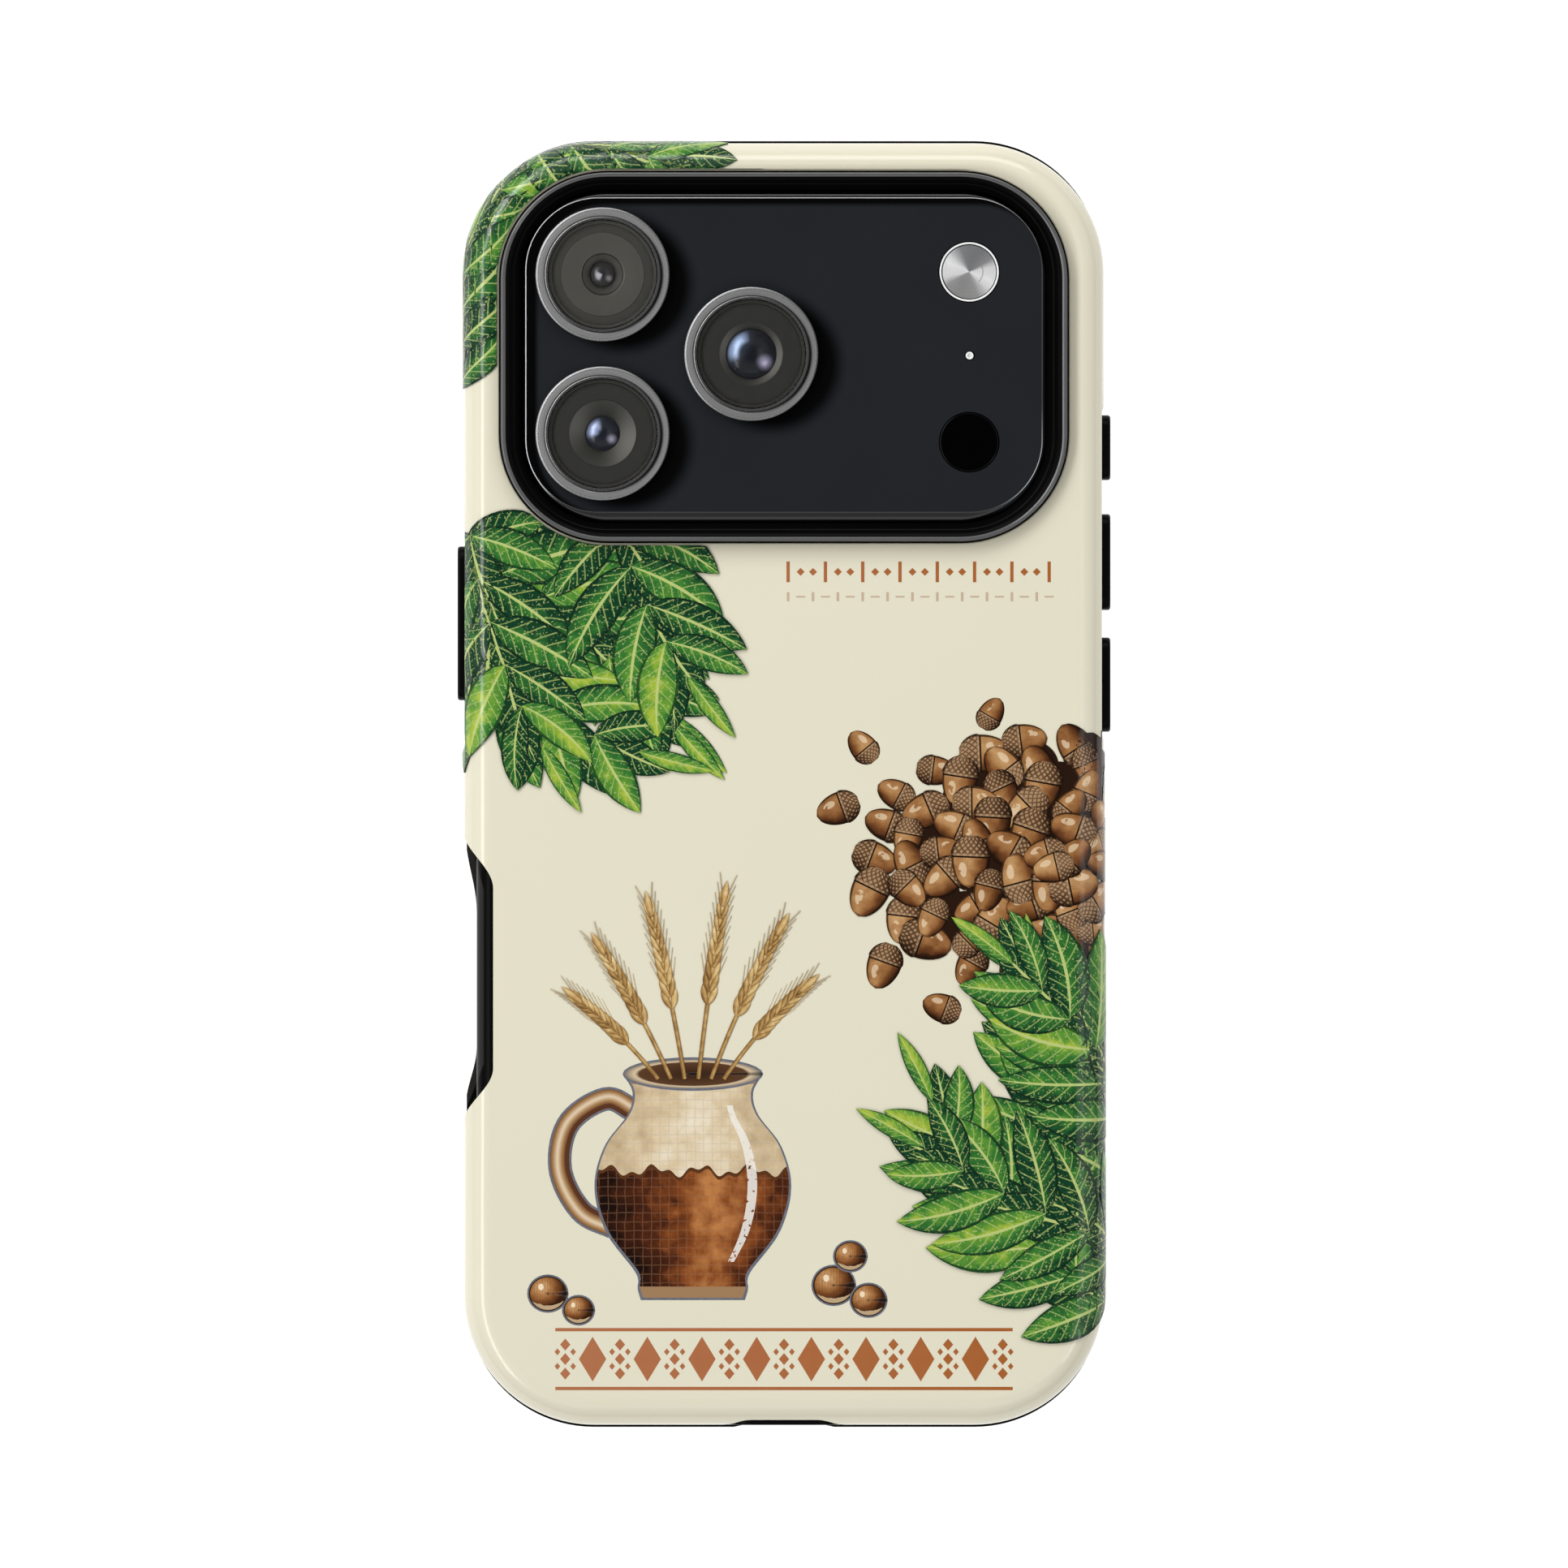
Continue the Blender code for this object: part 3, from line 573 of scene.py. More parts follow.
key_window = [(-LINER_HALF[0] - 1, -0.7), (-LINER_HALF[0] + 0.35, 0), (-PHONE_HALF[0] + 0.05, 0)]
cutter = bar("key_window", "x", (KEY_Y, PHONE_MID_Z), KEY_WINDOW_HALF, 2.7, key_window)
tools.append((cutter, "DIFFERENCE"))
ends = [(BOSS_Y - 1, -0.8), (BOSS_Y + 0.3, 0), (-PHONE_HALF[1] + 0.05, 0)]
tools.append((bar("plug_hole", "y", (0.0, PHONE_MID_Z), PLUG_HALF, 2.8, ends), "DIFFERENCE"))
half = (SOUND_HALF[0] - 0.2, SOUND_HALF[1] - 0.2)
ends = [(-SHELL_HALF[1] - 1, 0), (-PHONE_HALF[1] + 0.05, 0)]
for side in (-1, 1):
    cutter = bar("sound", "y", (side * SOUND_X, PHONE_MID_Z), half, half[1] * 0.98, ends)
    tools.append((cutter, "DIFFERENCE"))
carve(liner, tools)
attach(liner, "root")
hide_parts("rubber_liner")


# Phone body: dark anodised aluminium, finely blasted. The camera plateau rises from its back, with a chamfer
# round it whose bright line is partly painted highlight, and holds round bores for the cameras and sensors.
PLATEAU_HALF = (31.52, 19.95)
PLATEAU_CORNER = 10.2
FACE_CENTRE = (0.0, 51.77)
FACE_HALF = (31.2, 19.02)
FACE_CORNER = 8.8
CHAMFER_DROP = 0.42
CHAMFER_STEPS = 7
EDGE_WIDTH = 0.1
EDGE_DROP = 0.05
GLINT_AT = (30.8, 38.5)
GLINT_REACH = 8.0
EDGE_HIGHLIGHT_LEFT = (0.62, 0.63, 0.65)
EDGE_HIGHLIGHT_CORNER = (0.80, 0.80, 0.82)
FRONT_ROLL = 0.9
BACK_ROLL = 2.6
TRAY_INSET = 1.0
TRAY_DEPTH = 1.05
BORE_RADIUS = 7.4
BORE_LOW = 11.1
CUT_TOP = 14
KEY_POCKET_HALF = (7.65, 1.75)
KEY_POCKET_DEPTH = 0.95
PORT_HALF = (4.6, 1.65)
PORT_DEPTH = 6.5
PLATEAU_Z = 12.6
PHONE_BACK_Z = 9.65
LENSES = {"upper": (-21.9, 61.5), "middle": (-3.95, 51.9), "lower": (-21.9, 42.3)}
LENSES = {which: np.array(centre) for which, centre in LENSES.items()}
FLASH_CENTRE = np.array((22.35, 61.8))
FLASH_RADIUS = 3.58
MIC_CENTRE = np.array((22.4, 51.7))
MIC_RADIUS = 0.47
SENSOR_CENTRE = np.array((22.35, 41.25))
SENSOR_RADIUS = 3.53
BORE_FLOOR = 11.6
TRIM_GAP = 0.14
SHADOW_FACE_CENTRE = (FACE_CENTRE[0] + 1.0, FACE_CENTRE[1] - 0.5)
RING_SHADOW_SHIFT = (2.75, -1.2)
RING_SHADOW_NEAR = 6.8
RING_SHADOW_FAR = 9.2


def turned(name, profile, centre, paint, sides=128, ring=False, sharp=32):
    """A round solid: each (radius, z) of the profile is a circle about the vertical axis through centre."""
    turn = np.linspace(0, math.tau, sides, endpoint=False)
    circle = np.column_stack((np.cos(turn), np.sin(turn)))
    rows = [np.column_stack((centre + radius * circle, np.full(sides, z))) for radius, z in profile]
    return solid(name, rows, paint, ring, sharp)


def offsets(place, centre):
    """How far a point lies from a centre along X and along Y, as two wires."""
    return [place.axis(k) - float(centre[k]) for k in (0, 1)]


def past_outline(place, half, corner, centre):
    """How far a point lies from a rounded rectangle's corner centres, as a wire: it equals corner on the
    outline itself and is more outside."""
    x, y = [(abs(part) - (whole - corner)).at_least(0.0)
            for part, whole in zip(offsets(place, centre), half)]
    return (x ** 2 + y ** 2).math("SQRT")


def from_axis(place, centre):
    """Distance in millimetres from the vertical axis through centre."""
    x, y = offsets(place, centre)
    return (x ** 2 + y ** 2).math("SQRT")


metal, shader, place = finish("dark_anodised_aluminium", 0.5, specular=0.03, Coat_Roughness=0.12)
blast = noise(place, 14.0, detail=1)
patch = noise(place, 0.08, detail=2)
past = past_outline(place, FACE_HALF, FACE_CORNER, FACE_CENTRE)
raised = place.axis(2) > PHONE_BACK_Z + 0.5
polished = (past > FACE_CORNER) * raised
edge = (past > FACE_CORNER - EDGE_WIDTH) * (past < FACE_CORNER) * raised
base = tint(patch, (0.0120, 0.0133, 0.0157), (0.0146, 0.0163, 0.0194))
base = tint(blast * 0.3, base, (0.022, 0.0245, 0.029))
# Painted shadows: the base colour goes nearly black along the plateau's left and upper edges, where the lip's
# shadow falls, and to the lower right of each ring, where its shadow falls.
painted_shadow = blob((FACE_CORNER - past_outline(place, FACE_HALF, FACE_CORNER, SHADOW_FACE_CENTRE)) / 0.8)
for centre in LENSES.values():
    ring_shadow = (from_axis(place, centre + RING_SHADOW_SHIFT) - RING_SHADOW_NEAR) / (RING_SHADOW_FAR - RING_SHADOW_NEAR)
    painted_shadow = painted_shadow.at_least(blob(ring_shadow))
base = tint(painted_shadow, base, (0.0004, 0.0004, 0.0005))
# The chamfer's line is a painted highlight: brightest at the top, lighter along the left side and at a spot
# near the lower right corner.
across, along = [part / half for part, half in zip(offsets(place, FACE_CENTRE), FACE_HALF)]
edge_highlight = (along * 0.5 + 0.5).ramp((0.03, 0.07), (0.20, 0.12), (0.80, 0.14), (0.97, 0.34))
glint = blob(from_axis(place, GLINT_AT) / GLINT_REACH)
edge_highlight = coats(edge_highlight, (blob((across + 1.0) / 0.14), EDGE_HIGHLIGHT_LEFT), (glint, EDGE_HIGHLIGHT_CORNER))
feed(shader, Base_Color=tint(edge, base, edge_highlight), Metallic=edge * 0.8, Coat_Weight=polished)
feed(shader, Roughness=0.46 + blast * 0.12 - polished * 0.2 - edge * 0.14)
feed(shader, Normal=relief(blast, 0.3, 0.01))

rows = [level(PHONE_HALF, PHONE_CORNER, SCREEN_Z + up, inset=TRAY_INSET) for up in (TRAY_DEPTH, 0)]
rows += roll(PHONE_HALF, PHONE_CORNER, SCREEN_Z + FRONT_ROLL, FRONT_ROLL, -90, 0, 8)
rows += roll(PHONE_HALF, PHONE_CORNER, PHONE_BACK_Z - BACK_ROLL, BACK_ROLL, 0, 90, 10)
rows.append(level(PLATEAU_HALF, PLATEAU_CORNER, PHONE_BACK_Z, BORE_CENTRE))
for share in np.linspace(0, 1, CHAMFER_STEPS):
    half, centre = between(PLATEAU_HALF, FACE_HALF, share), between(BORE_CENTRE, FACE_CENTRE, share)
    drop = EDGE_DROP + (CHAMFER_DROP - EDGE_DROP) * (1 - share) ** 1.6
    corner = PLATEAU_CORNER + (FACE_CORNER - PLATEAU_CORNER) * share
    rows.append(level(half, corner, PLATEAU_Z - drop, centre))
for inset in (EDGE_WIDTH, EDGE_WIDTH + 0.1):
    rows.append(level(FACE_HALF, FACE_CORNER, PLATEAU_Z, FACE_CENTRE, inset=inset))
body = solid("body", rows, metal, sharp=20)
wall = ((BORE_RADIUS, BORE_LOW), (BORE_RADIUS, CUT_TOP))
tools = [turned("bore", wall, centre, None) for centre in LENSES.values()]
trims = ((FLASH_CENTRE, FLASH_RADIUS), (MIC_CENTRE, MIC_RADIUS), (SENSOR_CENTRE, SENSOR_RADIUS))
for centre, radius in trims:
    wall = ((radius + TRIM_GAP, BORE_FLOOR), (radius + TRIM_GAP, CUT_TOP))
    tools.append(turned("bore", wall, centre, None, 64))
pocket = [(-PHONE_HALF[0] - 1, 0), (-PHONE_HALF[0] + KEY_POCKET_DEPTH, 0)]
tools.append(bar("key_pocket", "x", (KEY_Y, PHONE_MID_Z), KEY_POCKET_HALF, 1.72, pocket))
port = [(-PHONE_HALF[1] - 1, 0), (-PHONE_HALF[1] + PORT_DEPTH, 0)]
tools.append(bar("port", "y", (0.0, PHONE_MID_Z), PORT_HALF, 1.62, port))
carve(body, [(tool, "DIFFERENCE") for tool in tools], sharp=20)
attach(body, "root")
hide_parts("phone_body")


# Lens rings: three turned collars, satin on top, with a broken outer edge and a fine inner step.
RING_TOP = box_mm("lens_ring_upper")[1].z
RING_FOOT = 12.72
RING_BOTTOM = 11.3
RING_DROPS = (
    (8.09, 0.36), (8.085, 0.26), (8.06, 0.19), (8.00, 0.145), (7.92, 0.11), (7.80, 0.085), (7.60, 0.055),
    (7.40, 0.03), (7.25, 0.025), (7.18, 0.035), (7.12, 0.07), (7.08, 0.15), (7.05, 0.28), (7.00, 0.28),
    (6.97, 0.235), (6.93, 0.195), (6.88, 0.18), (6.72, 0.185), (6.66, 0.20), (6.63, 0.25),
)
RING_RADIUS = 8.09
RING_BORE = 7.25
STEP_RADIUS = 7.03
STEP_GLINT = (6.91, 0.09)
RIM_GLINT = (8.05, 0.26)
ROUNDED = 7.72
TONES = {"upper": (0.205, 0.240), "middle": (0.1845, 0.216), "lower": (0.205, 0.240)}
SHADE_SHIFT = (0.30, -0.10)
SHADE_NEAR = 6.85
SHADE_FADE = 0.35

profile = [(RING_BORE, RING_BOTTOM), (RING_BORE, RING_FOOT), (RING_RADIUS, RING_FOOT)]
profile += [(radius, RING_TOP - drop) for radius, drop in RING_DROPS]
profile.append((profile[-1][0], RING_BOTTOM))
for which, centre in LENSES.items():
    satin, shader, place = finish(f"satin_ring_metal_{which}", 0.42, metallic=0.5)
    turning = noise(place, 6.0)
    away = from_axis(place, centre)
    step = away < STEP_RADIUS
    # Painted light: highlights on the outer edge and the step towards the upper left, a painted darkening of
    # the
    # outer edge on the right, and a painted shade inside the step on the right.
    shade = blob((from_axis(place, centre + SHADE_SHIFT) - SHADE_NEAR) / SHADE_FADE) * (away > STEP_RADIUS)
    base = tint(step, tint(turning, *TONES[which]), (0.078, 0.078, 0.076))
    across, along = offsets(place, centre)
    lit = blob(1.0 - (along * 0.45 - across) / away)
    glint = blob(abs(away - STEP_GLINT[0]) / STEP_GLINT[1]) * lit
    rim = blob((RIM_GLINT[0] - away) / RIM_GLINT[1])
    dim = rim * blob(1.0 - (across + along * 0.2) / away) * 0.75
    base = coats(base, (glint, 0.5), (rim * lit, 0.46), (dim, 0.05), (shade, 0.003))
    feed(shader, Base_Color=base, Metallic=0.5 + shade * 0.5)
    feed(shader, Roughness=0.38 + turning * 0.1 - step * 0.16 - (away > ROUNDED) * 0.16)
    ring = turned(f"ring_{which}", profile, centre, satin, ring=True)
    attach(ring, "root")
    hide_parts(f"lens_ring_{which}")


# Cover glasses: flat polished panes let into the rings, their upper edges ground off.
PANE_RADIUS = 6.55
PANE_LOW = 13.4
PANE_TOP = 13.85
PANE_BEVEL = 0.08
PANE_EDGE = ((0, 0.16), (0.03, 0.07), (0.06, 0.02), (PANE_BEVEL, 0), (2 * PANE_BEVEL, 0))

profile = [(0, PANE_LOW), (PANE_RADIUS, PANE_LOW)]
profile += [(PANE_RADIUS - inset, PANE_TOP - drop) for inset, drop in PANE_EDGE]
profile.append((0, PANE_TOP))
for which, centre in LENSES.items():
    clear, mirror, place = finish(f"cover_glass_{which}", 0.015, metallic=1.0)
    haze = noise(place, 0.5)
    ground = ((from_axis(place, centre) - (PANE_RADIUS - PANE_BEVEL)) * 12).at_most(1.0).at_least(0.0)
    feed(mirror, Base_Color=tint(haze, 0.97, 1.0), Roughness=0.012 + haze * 0.01 + ground * 0.5)
    tree = place.tree
    through = Wire.node(tree, "ShaderNodeBsdfTransparent", None, {0: (0.965, 0.965, 0.955, 1)})
    share = Wire.node(tree, "ShaderNodeFresnel", None, {"IOR": 1.38}) + ground * 0.03
    look = Wire.node(tree, "ShaderNodeMixShader", None, {0: share, 1: through, 2: Wire(mirror.outputs[0])})
    tree.links.new(look.socket, tree.nodes["Material Output"].inputs["Surface"])
    pane = turned(f"pane_{which}", profile, centre, clear)
    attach(pane, "root")
    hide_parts(f"lens_glass_{which}")


# Barrels: moulded black holders under the glasses. Their printed face and stepped or conical well
# differ from camera to camera, and a soft sheen is painted on the cones where they face a light.
BARREL_RADIUS = 6.5
BARREL_TOP = 13.2
BARREL_FLOOR = 11.25
WELL_FLOOR = 11.75
BARREL_STEPS = {
    "upper": (
        (6.1, 12.7), (5.06, 12.7), (5.02, 12.8), (2.66, 12.8), (2.56, 12.77), (2.48, 12.62),
        (2.40, 12.6), (1.95, 12.46), (1.62, 12.3), (1.55, 12.2),
    ),
    "middle": (
        (6.1, 12.7), (3.83, 12.7), (3.8, 12.74), (3.7, 12.74), (3.66, 12.66), (3.15, 12.48),
        (3.05, 12.4),
    ),
    "lower": (
        (6.1, 12.7), (4.13, 12.7), (4.1, 12.74), (4.04, 12.74), (4.0, 12.68), (2.15, 12.06),
        (2.1, 12.0),
    ),
}
# The last two stops of each lighten the face near its rim: painted light against the shade of the ring.
FACE_TONES = {
    "upper": (
        (0.0, 0.07), (1.60, 0.07), (1.62, 0.05), (2.34, 0.075), (2.38, 0.02), (2.50, 0.02),
        (2.54, 0.115), (5.0, 0.115), (5.06, 0.062), (6.0, 0.062), (6.25, 0.095),
    ),
    "middle": (
        (0.0, 0.03), (3.05, 0.03), (3.7, 0.050), (3.82, 0.050), (3.86, 0.026), (6.0, 0.026),
        (6.25, 0.045),
    ),
    "lower": (
        (0.0, 0.03), (2.15, 0.03), (2.3, 0.048), (4.0, 0.062), (4.08, 0.030), (6.0, 0.030),
        (6.25, 0.050),
    ),
}
FANS = {"upper": (2.52, 2.68, 0.16), "middle": (3.05, 3.82, 0.25), "lower": (2.1, 4.06, 0.24)}
FAN_TURN = math.radians(18)

for which, centre in LENSES.items():
    black, shader, place = finish(f"barrel_face_{which}", 0.4, specular=0.5)
    away = from_axis(place, centre)
    speck = noise(place, 8.0)
    stops = [(reach / BARREL_RADIUS, (v, v * 0.97, v * 0.86)) for reach, v in FACE_TONES[which]]
    tone = (away / BARREL_RADIUS).ramp(*stops)
    inner, outer, strength = FANS[which]
    across, along = offsets(place, centre)
    # Painted sheen: fans of light colour on the well where it faces the lights.
    facing = (across * math.cos(FAN_TURN) - along * math.sin(FAN_TURN)) / away
    fan = facing.at_least(0.0) ** 2.2 + (facing * -1).at_least(0.0) ** 4 * 0.55
    fan = fan * (away > inner) * (away < outer) * strength
    tone = tint(fan, tone, (0.85, 0.83, 0.78))
    feed(shader, Base_Color=tint(speck * 0.15, tone, (0.05, 0.048, 0.043)))
    feed(shader, Roughness=0.45 + speck * 0.1)
    profile = [(0, BARREL_FLOOR), (BARREL_RADIUS, BARREL_FLOOR), (BARREL_RADIUS, BARREL_TOP)]
    profile += [(BARREL_RADIUS - 0.35, BARREL_TOP), *BARREL_STEPS[which]]
    profile += [(profile[-1][0], WELL_FLOOR), (0, WELL_FLOOR)]
    barrel = turned(f"barrel_{which}", profile, centre, black)
    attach(barrel, "root")
    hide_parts(f"lens_barrel_{which}")


# Front lenses: polished dark domes. Highlights are painted on them: a blue-white crescent on the left that
# also glows faintly, a soft halo round it, a violet reflection at the lower right and a lighter rim.
LENS_BASE = 11.9
DOMES = {"upper": (1.4, 12.7, 2.7), "middle": (2.95, 13.0, 5.9), "lower": (2.0, 12.75, 3.9)}
COATS_AND_REFLECTIONS = {
    "upper": (198, 0.30, 0.34, (0.042, 0.041, 0.047), (0.66, 0.65, 0.76), (0.33, 0.31, 0.34)),
    "middle": (150, 0.72, 0.22, (0.019, 0.021, 0.033), (0.44, 0.58, 0.90), (0.61, 0.57, 0.86)),
    "lower": (150, 0.58, 0.38, (0.022, 0.026, 0.042), (0.53, 0.63, 0.97), (0.46, 0.44, 0.60)),
}
GLOW_AT = (0.56, -0.34)
GLOW_REACH = 0.42
EDGE_SHARES = {"upper": 0.5, "middle": 0.12, "lower": 0.12}


def dome(radius, crown, curve, base, steps=20):
    """Profile of a lens: its wall, then a cap of the given radius of curvature up to the crown."""
    edge = math.asin(radius / curve)
    turns = np.linspace(edge, 0, steps + 1)
    cap = [(curve * math.sin(a), crown - curve * (1 - math.cos(a))) for a in turns]
    return [(0, base), (radius, base), *cap]


for which, centre in LENSES.items():
    radius, crown, curve = DOMES[which]
    painted_lens_look, shader, place = finish(f"lens_coat_and_painted_reflections_{which}", 0.1, specular=0.3, Emission_Strength=0.17)
    compass, middle, width, deep, crescent_tone, glow_tone = COATS_AND_REFLECTIONS[which]
    swirl = noise(place, 0.6)
    away = from_axis(place, centre) / radius
    across, along = [part / radius for part in offsets(place, centre)]
    turn = math.radians(compass)
    facing = (across * math.cos(turn) + along * math.sin(turn)) / away
    band = abs(away - middle)
    # The crescent, halo, glow and lighter rim are painted light in the base colour; the crescent also glows.
    crescent = blob((band - 0.08) / width) * blob((0.95 - facing) / 0.42)
    halo = blob(band / 0.75) * blob((1 - facing) / 0.8)
    glow = blob(from_axis(place, centre + radius * np.array(GLOW_AT)) / (radius * GLOW_REACH))
    edge = blob((1.02 - away) / 0.35) * EDGE_SHARES[which]
    colour = coats(deep, (halo * 0.11, crescent_tone), (edge, (0.105, 0.10, 0.10)), (glow, glow_tone),
                   (crescent * (0.85 + swirl * 0.15), crescent_tone))
    feed(shader, Base_Color=colour, Emission_Color=tint(crescent, 0.0, crescent_tone))
    feed(shader, Roughness=0.12 + swirl * 0.05, Metallic=crescent * 0.12 + glow * 0.1)
    lens = turned(f"lens_{which}", dome(radius, crown, curve, LENS_BASE), centre, painted_lens_look, sides=96)
    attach(lens, "root")
    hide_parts(f"lens_element_{which}")


# Flash: a bright ring round a disc that is turned in fine circles, so light falls on it in two fans; the
# fans are also painted on it, and a painted shade darkens its upper part.
TRIM_TOP = PLATEAU_Z + 0.05
TRIM_BASE = 11.75
FLASH_WALL = 0.23
DISC_RADIUS = FLASH_RADIUS - FLASH_WALL - 0.12
GROOVES = 26
GROOVE_TILT = 21
WEDGE_END = math.radians(32)
FANS_OF_LIGHT = ((0.0, 0.0), (0.43, 0.0), (0.69, 1.0), (0.89, 1.0), (0.99, 0.0))
SCRATCH = (1.65, 0.07, -0.2, 0.62)

bright, shader, place = finish("bright_trim", 0.3, metallic=0.1)
wear = noise(place, 5.0)
feed(shader, Base_Color=tint(wear, 0.93, 0.97), Roughness=0.24 + wear * 0.1)
inner = FLASH_RADIUS - FLASH_WALL
profile = [(FLASH_RADIUS, TRIM_BASE)]
profile += [(FLASH_RADIUS - inset, TRIM_TOP - drop) for inset, drop in ((0, 0.06), (0.03, 0.01), (0.08, 0))]
profile += [(inner + 0.06, TRIM_TOP), (inner, TRIM_TOP - 0.05), (inner, TRIM_BASE)]
flash_ring = turned("flash_ring_bright", profile, FLASH_CENTRE, bright, ring=True)
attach(flash_ring, "root")
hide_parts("flash_ring")

brushed, shader, place = finish("circle_brushed_disc", 0.25, metallic=1.0)
away = from_axis(place, FLASH_CENTRE)
values = {"W": away, "Scale": 9.0, "Detail": 2.0}
lines = Wire.node(place.tree, "ShaderNodeTexNoise", {"noise_dimensions": "1D"}, values)
across, along = offsets(place, FLASH_CENTRE)
turn = along.math("ARCTAN2", across)
# Painted light: two fans of light colour and a painted shade towards the top of the disc.
painted_fans = ((turn - WEDGE_END) / math.pi).math("FRACT").ramp(*FANS_OF_LIGHT)
painted_top_shade = tint(0.5 - along / away * 0.5, (0.215, 0.218, 0.225), (0.325, 0.322, 0.32))
radius, half_width, middle, half_turn = SCRATCH
arc = (abs(away - radius) < half_width) * (abs(turn - middle) < half_turn)
silver = coats(painted_top_shade, (painted_fans, (0.60, 0.60, 0.605)), (lines * 0.12, (0.80, 0.80, 0.81)),
               (arc * 0.55, (0.14, 0.14, 0.15)))
feed(shader, Base_Color=silver, Roughness=0.32 + lines * 0.06)
turns = np.linspace(0, GROOVES * math.tau, GROOVES * 8 + 1)
radii = DISC_RADIUS * (1 - turns / turns[-1])
pitch = DISC_RADIUS / GROOVES
waves = math.tan(math.radians(GROOVE_TILT)) * pitch / math.tau * (np.cos(turns) - 1)
profile = [(0, TRIM_BASE), (DISC_RADIUS, TRIM_BASE)]
profile += [(radius, PLATEAU_Z - 0.02 + wave) for radius, wave in zip(radii, waves)]
disc = turned("flash_disc", profile, FLASH_CENTRE, brushed, sides=96, sharp=60)
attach(disc, "root")
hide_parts("flash_lens")


# Microphone: a small bright sleeve with a black hole.
hole = 0.55 * MIC_RADIUS
profile = [(0, TRIM_BASE), (MIC_RADIUS, TRIM_BASE), (MIC_RADIUS, PLATEAU_Z - 0.04)]
profile += [(MIC_RADIUS - 0.04, PLATEAU_Z), (hole + 0.03, PLATEAU_Z), (hole, PLATEAU_Z - 0.05)]
profile += [(hole, PLATEAU_Z - 0.4), (0, PLATEAU_Z - 0.4)]
microphone = turned("microphone", profile, MIC_CENTRE, bright, sides=48)
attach(microphone, "root")
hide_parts("rear_microphone")


# Sensor window and touch key: polished black panes that hide what is under them.
jet, shader, place = finish("polished_black", 0.12, specular=0.12)
smear = noise(place, 0.8)
feed(shader, Base_Color=tint(smear, 0.0003, 0.0008), Roughness=0.08 + smear * 0.05)
sensor_edge = ((0, 0.1), (0.03, 0.03), (0.1, 0), (0.15, 0))
profile = [(0, TRIM_BASE), (SENSOR_RADIUS, TRIM_BASE)]
profile += [(SENSOR_RADIUS - inset, PLATEAU_Z - drop) for inset, drop in sensor_edge] + [(0, PLATEAU_Z)]
window = turned("sensor_window", profile, SENSOR_CENTRE, jet)
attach(window, "root")
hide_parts("depth_sensor_window")

key_low, key_high = box_mm("side_touch_key")
key_half = ((key_high.y - key_low.y) / 2, (key_high.z - key_low.z) / 2)
key_middle = ((key_high.y + key_low.y) / 2, (key_high.z + key_low.z) / 2)
key_edge = ((0, 0.16), (0.02, 0.07), (0.08, 0.01), (0.16, 0), (0.79, 0))
sections = [(key_low.x + depth, inset) for depth, inset in key_edge]
touch_key = bar("touch_key", "x", key_middle, key_half, key_half[1] * 0.98, sections, steps=16)
touch_key.data.materials.append(jet)
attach(touch_key, "root")
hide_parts("side_touch_key")


# Display: one pane of black glass over the whole front, its edge rounded, with the lit area just visible.
display_low, display_high = box_mm("front_glass")
DISPLAY_CORNER = PHONE_CORNER - 1.15
LIT_HALF = (33.3, 72.4)

display_glass, shader, place = finish("display_glass", 0.04, specular=0.5)
across, along = [abs(place.axis(k)) < LIT_HALF[k] for k in (0, 1)]
smear = noise(place, 0.3)
lit = tint(across * along, 0.0012, (0.0045, 0.0045, 0.0055))
feed(shader, Base_Color=lit, Roughness=0.02 + smear * 0.04)
half = (display_high.x, display_high.y)
display_edge = ((0.9, 0.0), (0.45, 0.0), (0.28, 0.03), (0.12, 0.12), (0.04, 0.28), (0.0, 0.55), (0.0, 0.9))
rows = [level(half, DISPLAY_CORNER, display_low.z + up, inset=inset) for up, inset in display_edge]
display = solid("display", rows, display_glass)
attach(display, "root")
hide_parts("front_glass")


# Print: a generic picture in ink on the shell's back, wrapped over its rolled edge. Each motif is a thin
# film that stands hundredths of a millimetre proud, and later films lie over earlier ones.
INK_DEPTH = 0.05
INK_LIFT = 0.012
INK_STEP = 0.003
WINDOW_MARGIN = 0.3
DISH_ROLL = 3.6
FULL_ROLL = 11.5
DISHED_X = 36
DISHED_Y = (4, 47)
FLAT_HALF = (SHELL_HALF[0] - SHELL_ROLL, SHELL_HALF[1] - SHELL_ROLL)
rng = np.random.default_rng(11)


def past_edge(point, half, corner):
    """Signed distance of plan points (n, m, 2) from a rounded rectangle about the origin, and the way out.
    Beyond a corner's centre it is measured from that centre; else from the nearer side."""
    q = np.abs(point) - (np.array(half) - corner)
    beyond = np.maximum(q, 0)
    length = np.linalg.norm(beyond, axis=-1)
    inside = np.minimum(q.max(-1), 0)
    nearer = (q == q.max(-1)[..., None]).astype(float)
    outward = beyond / np.maximum(length, 1e-9)[..., None]
    return length + inside - corner, np.where(length[..., None] > 0, outward, nearer) * np.sign(point)


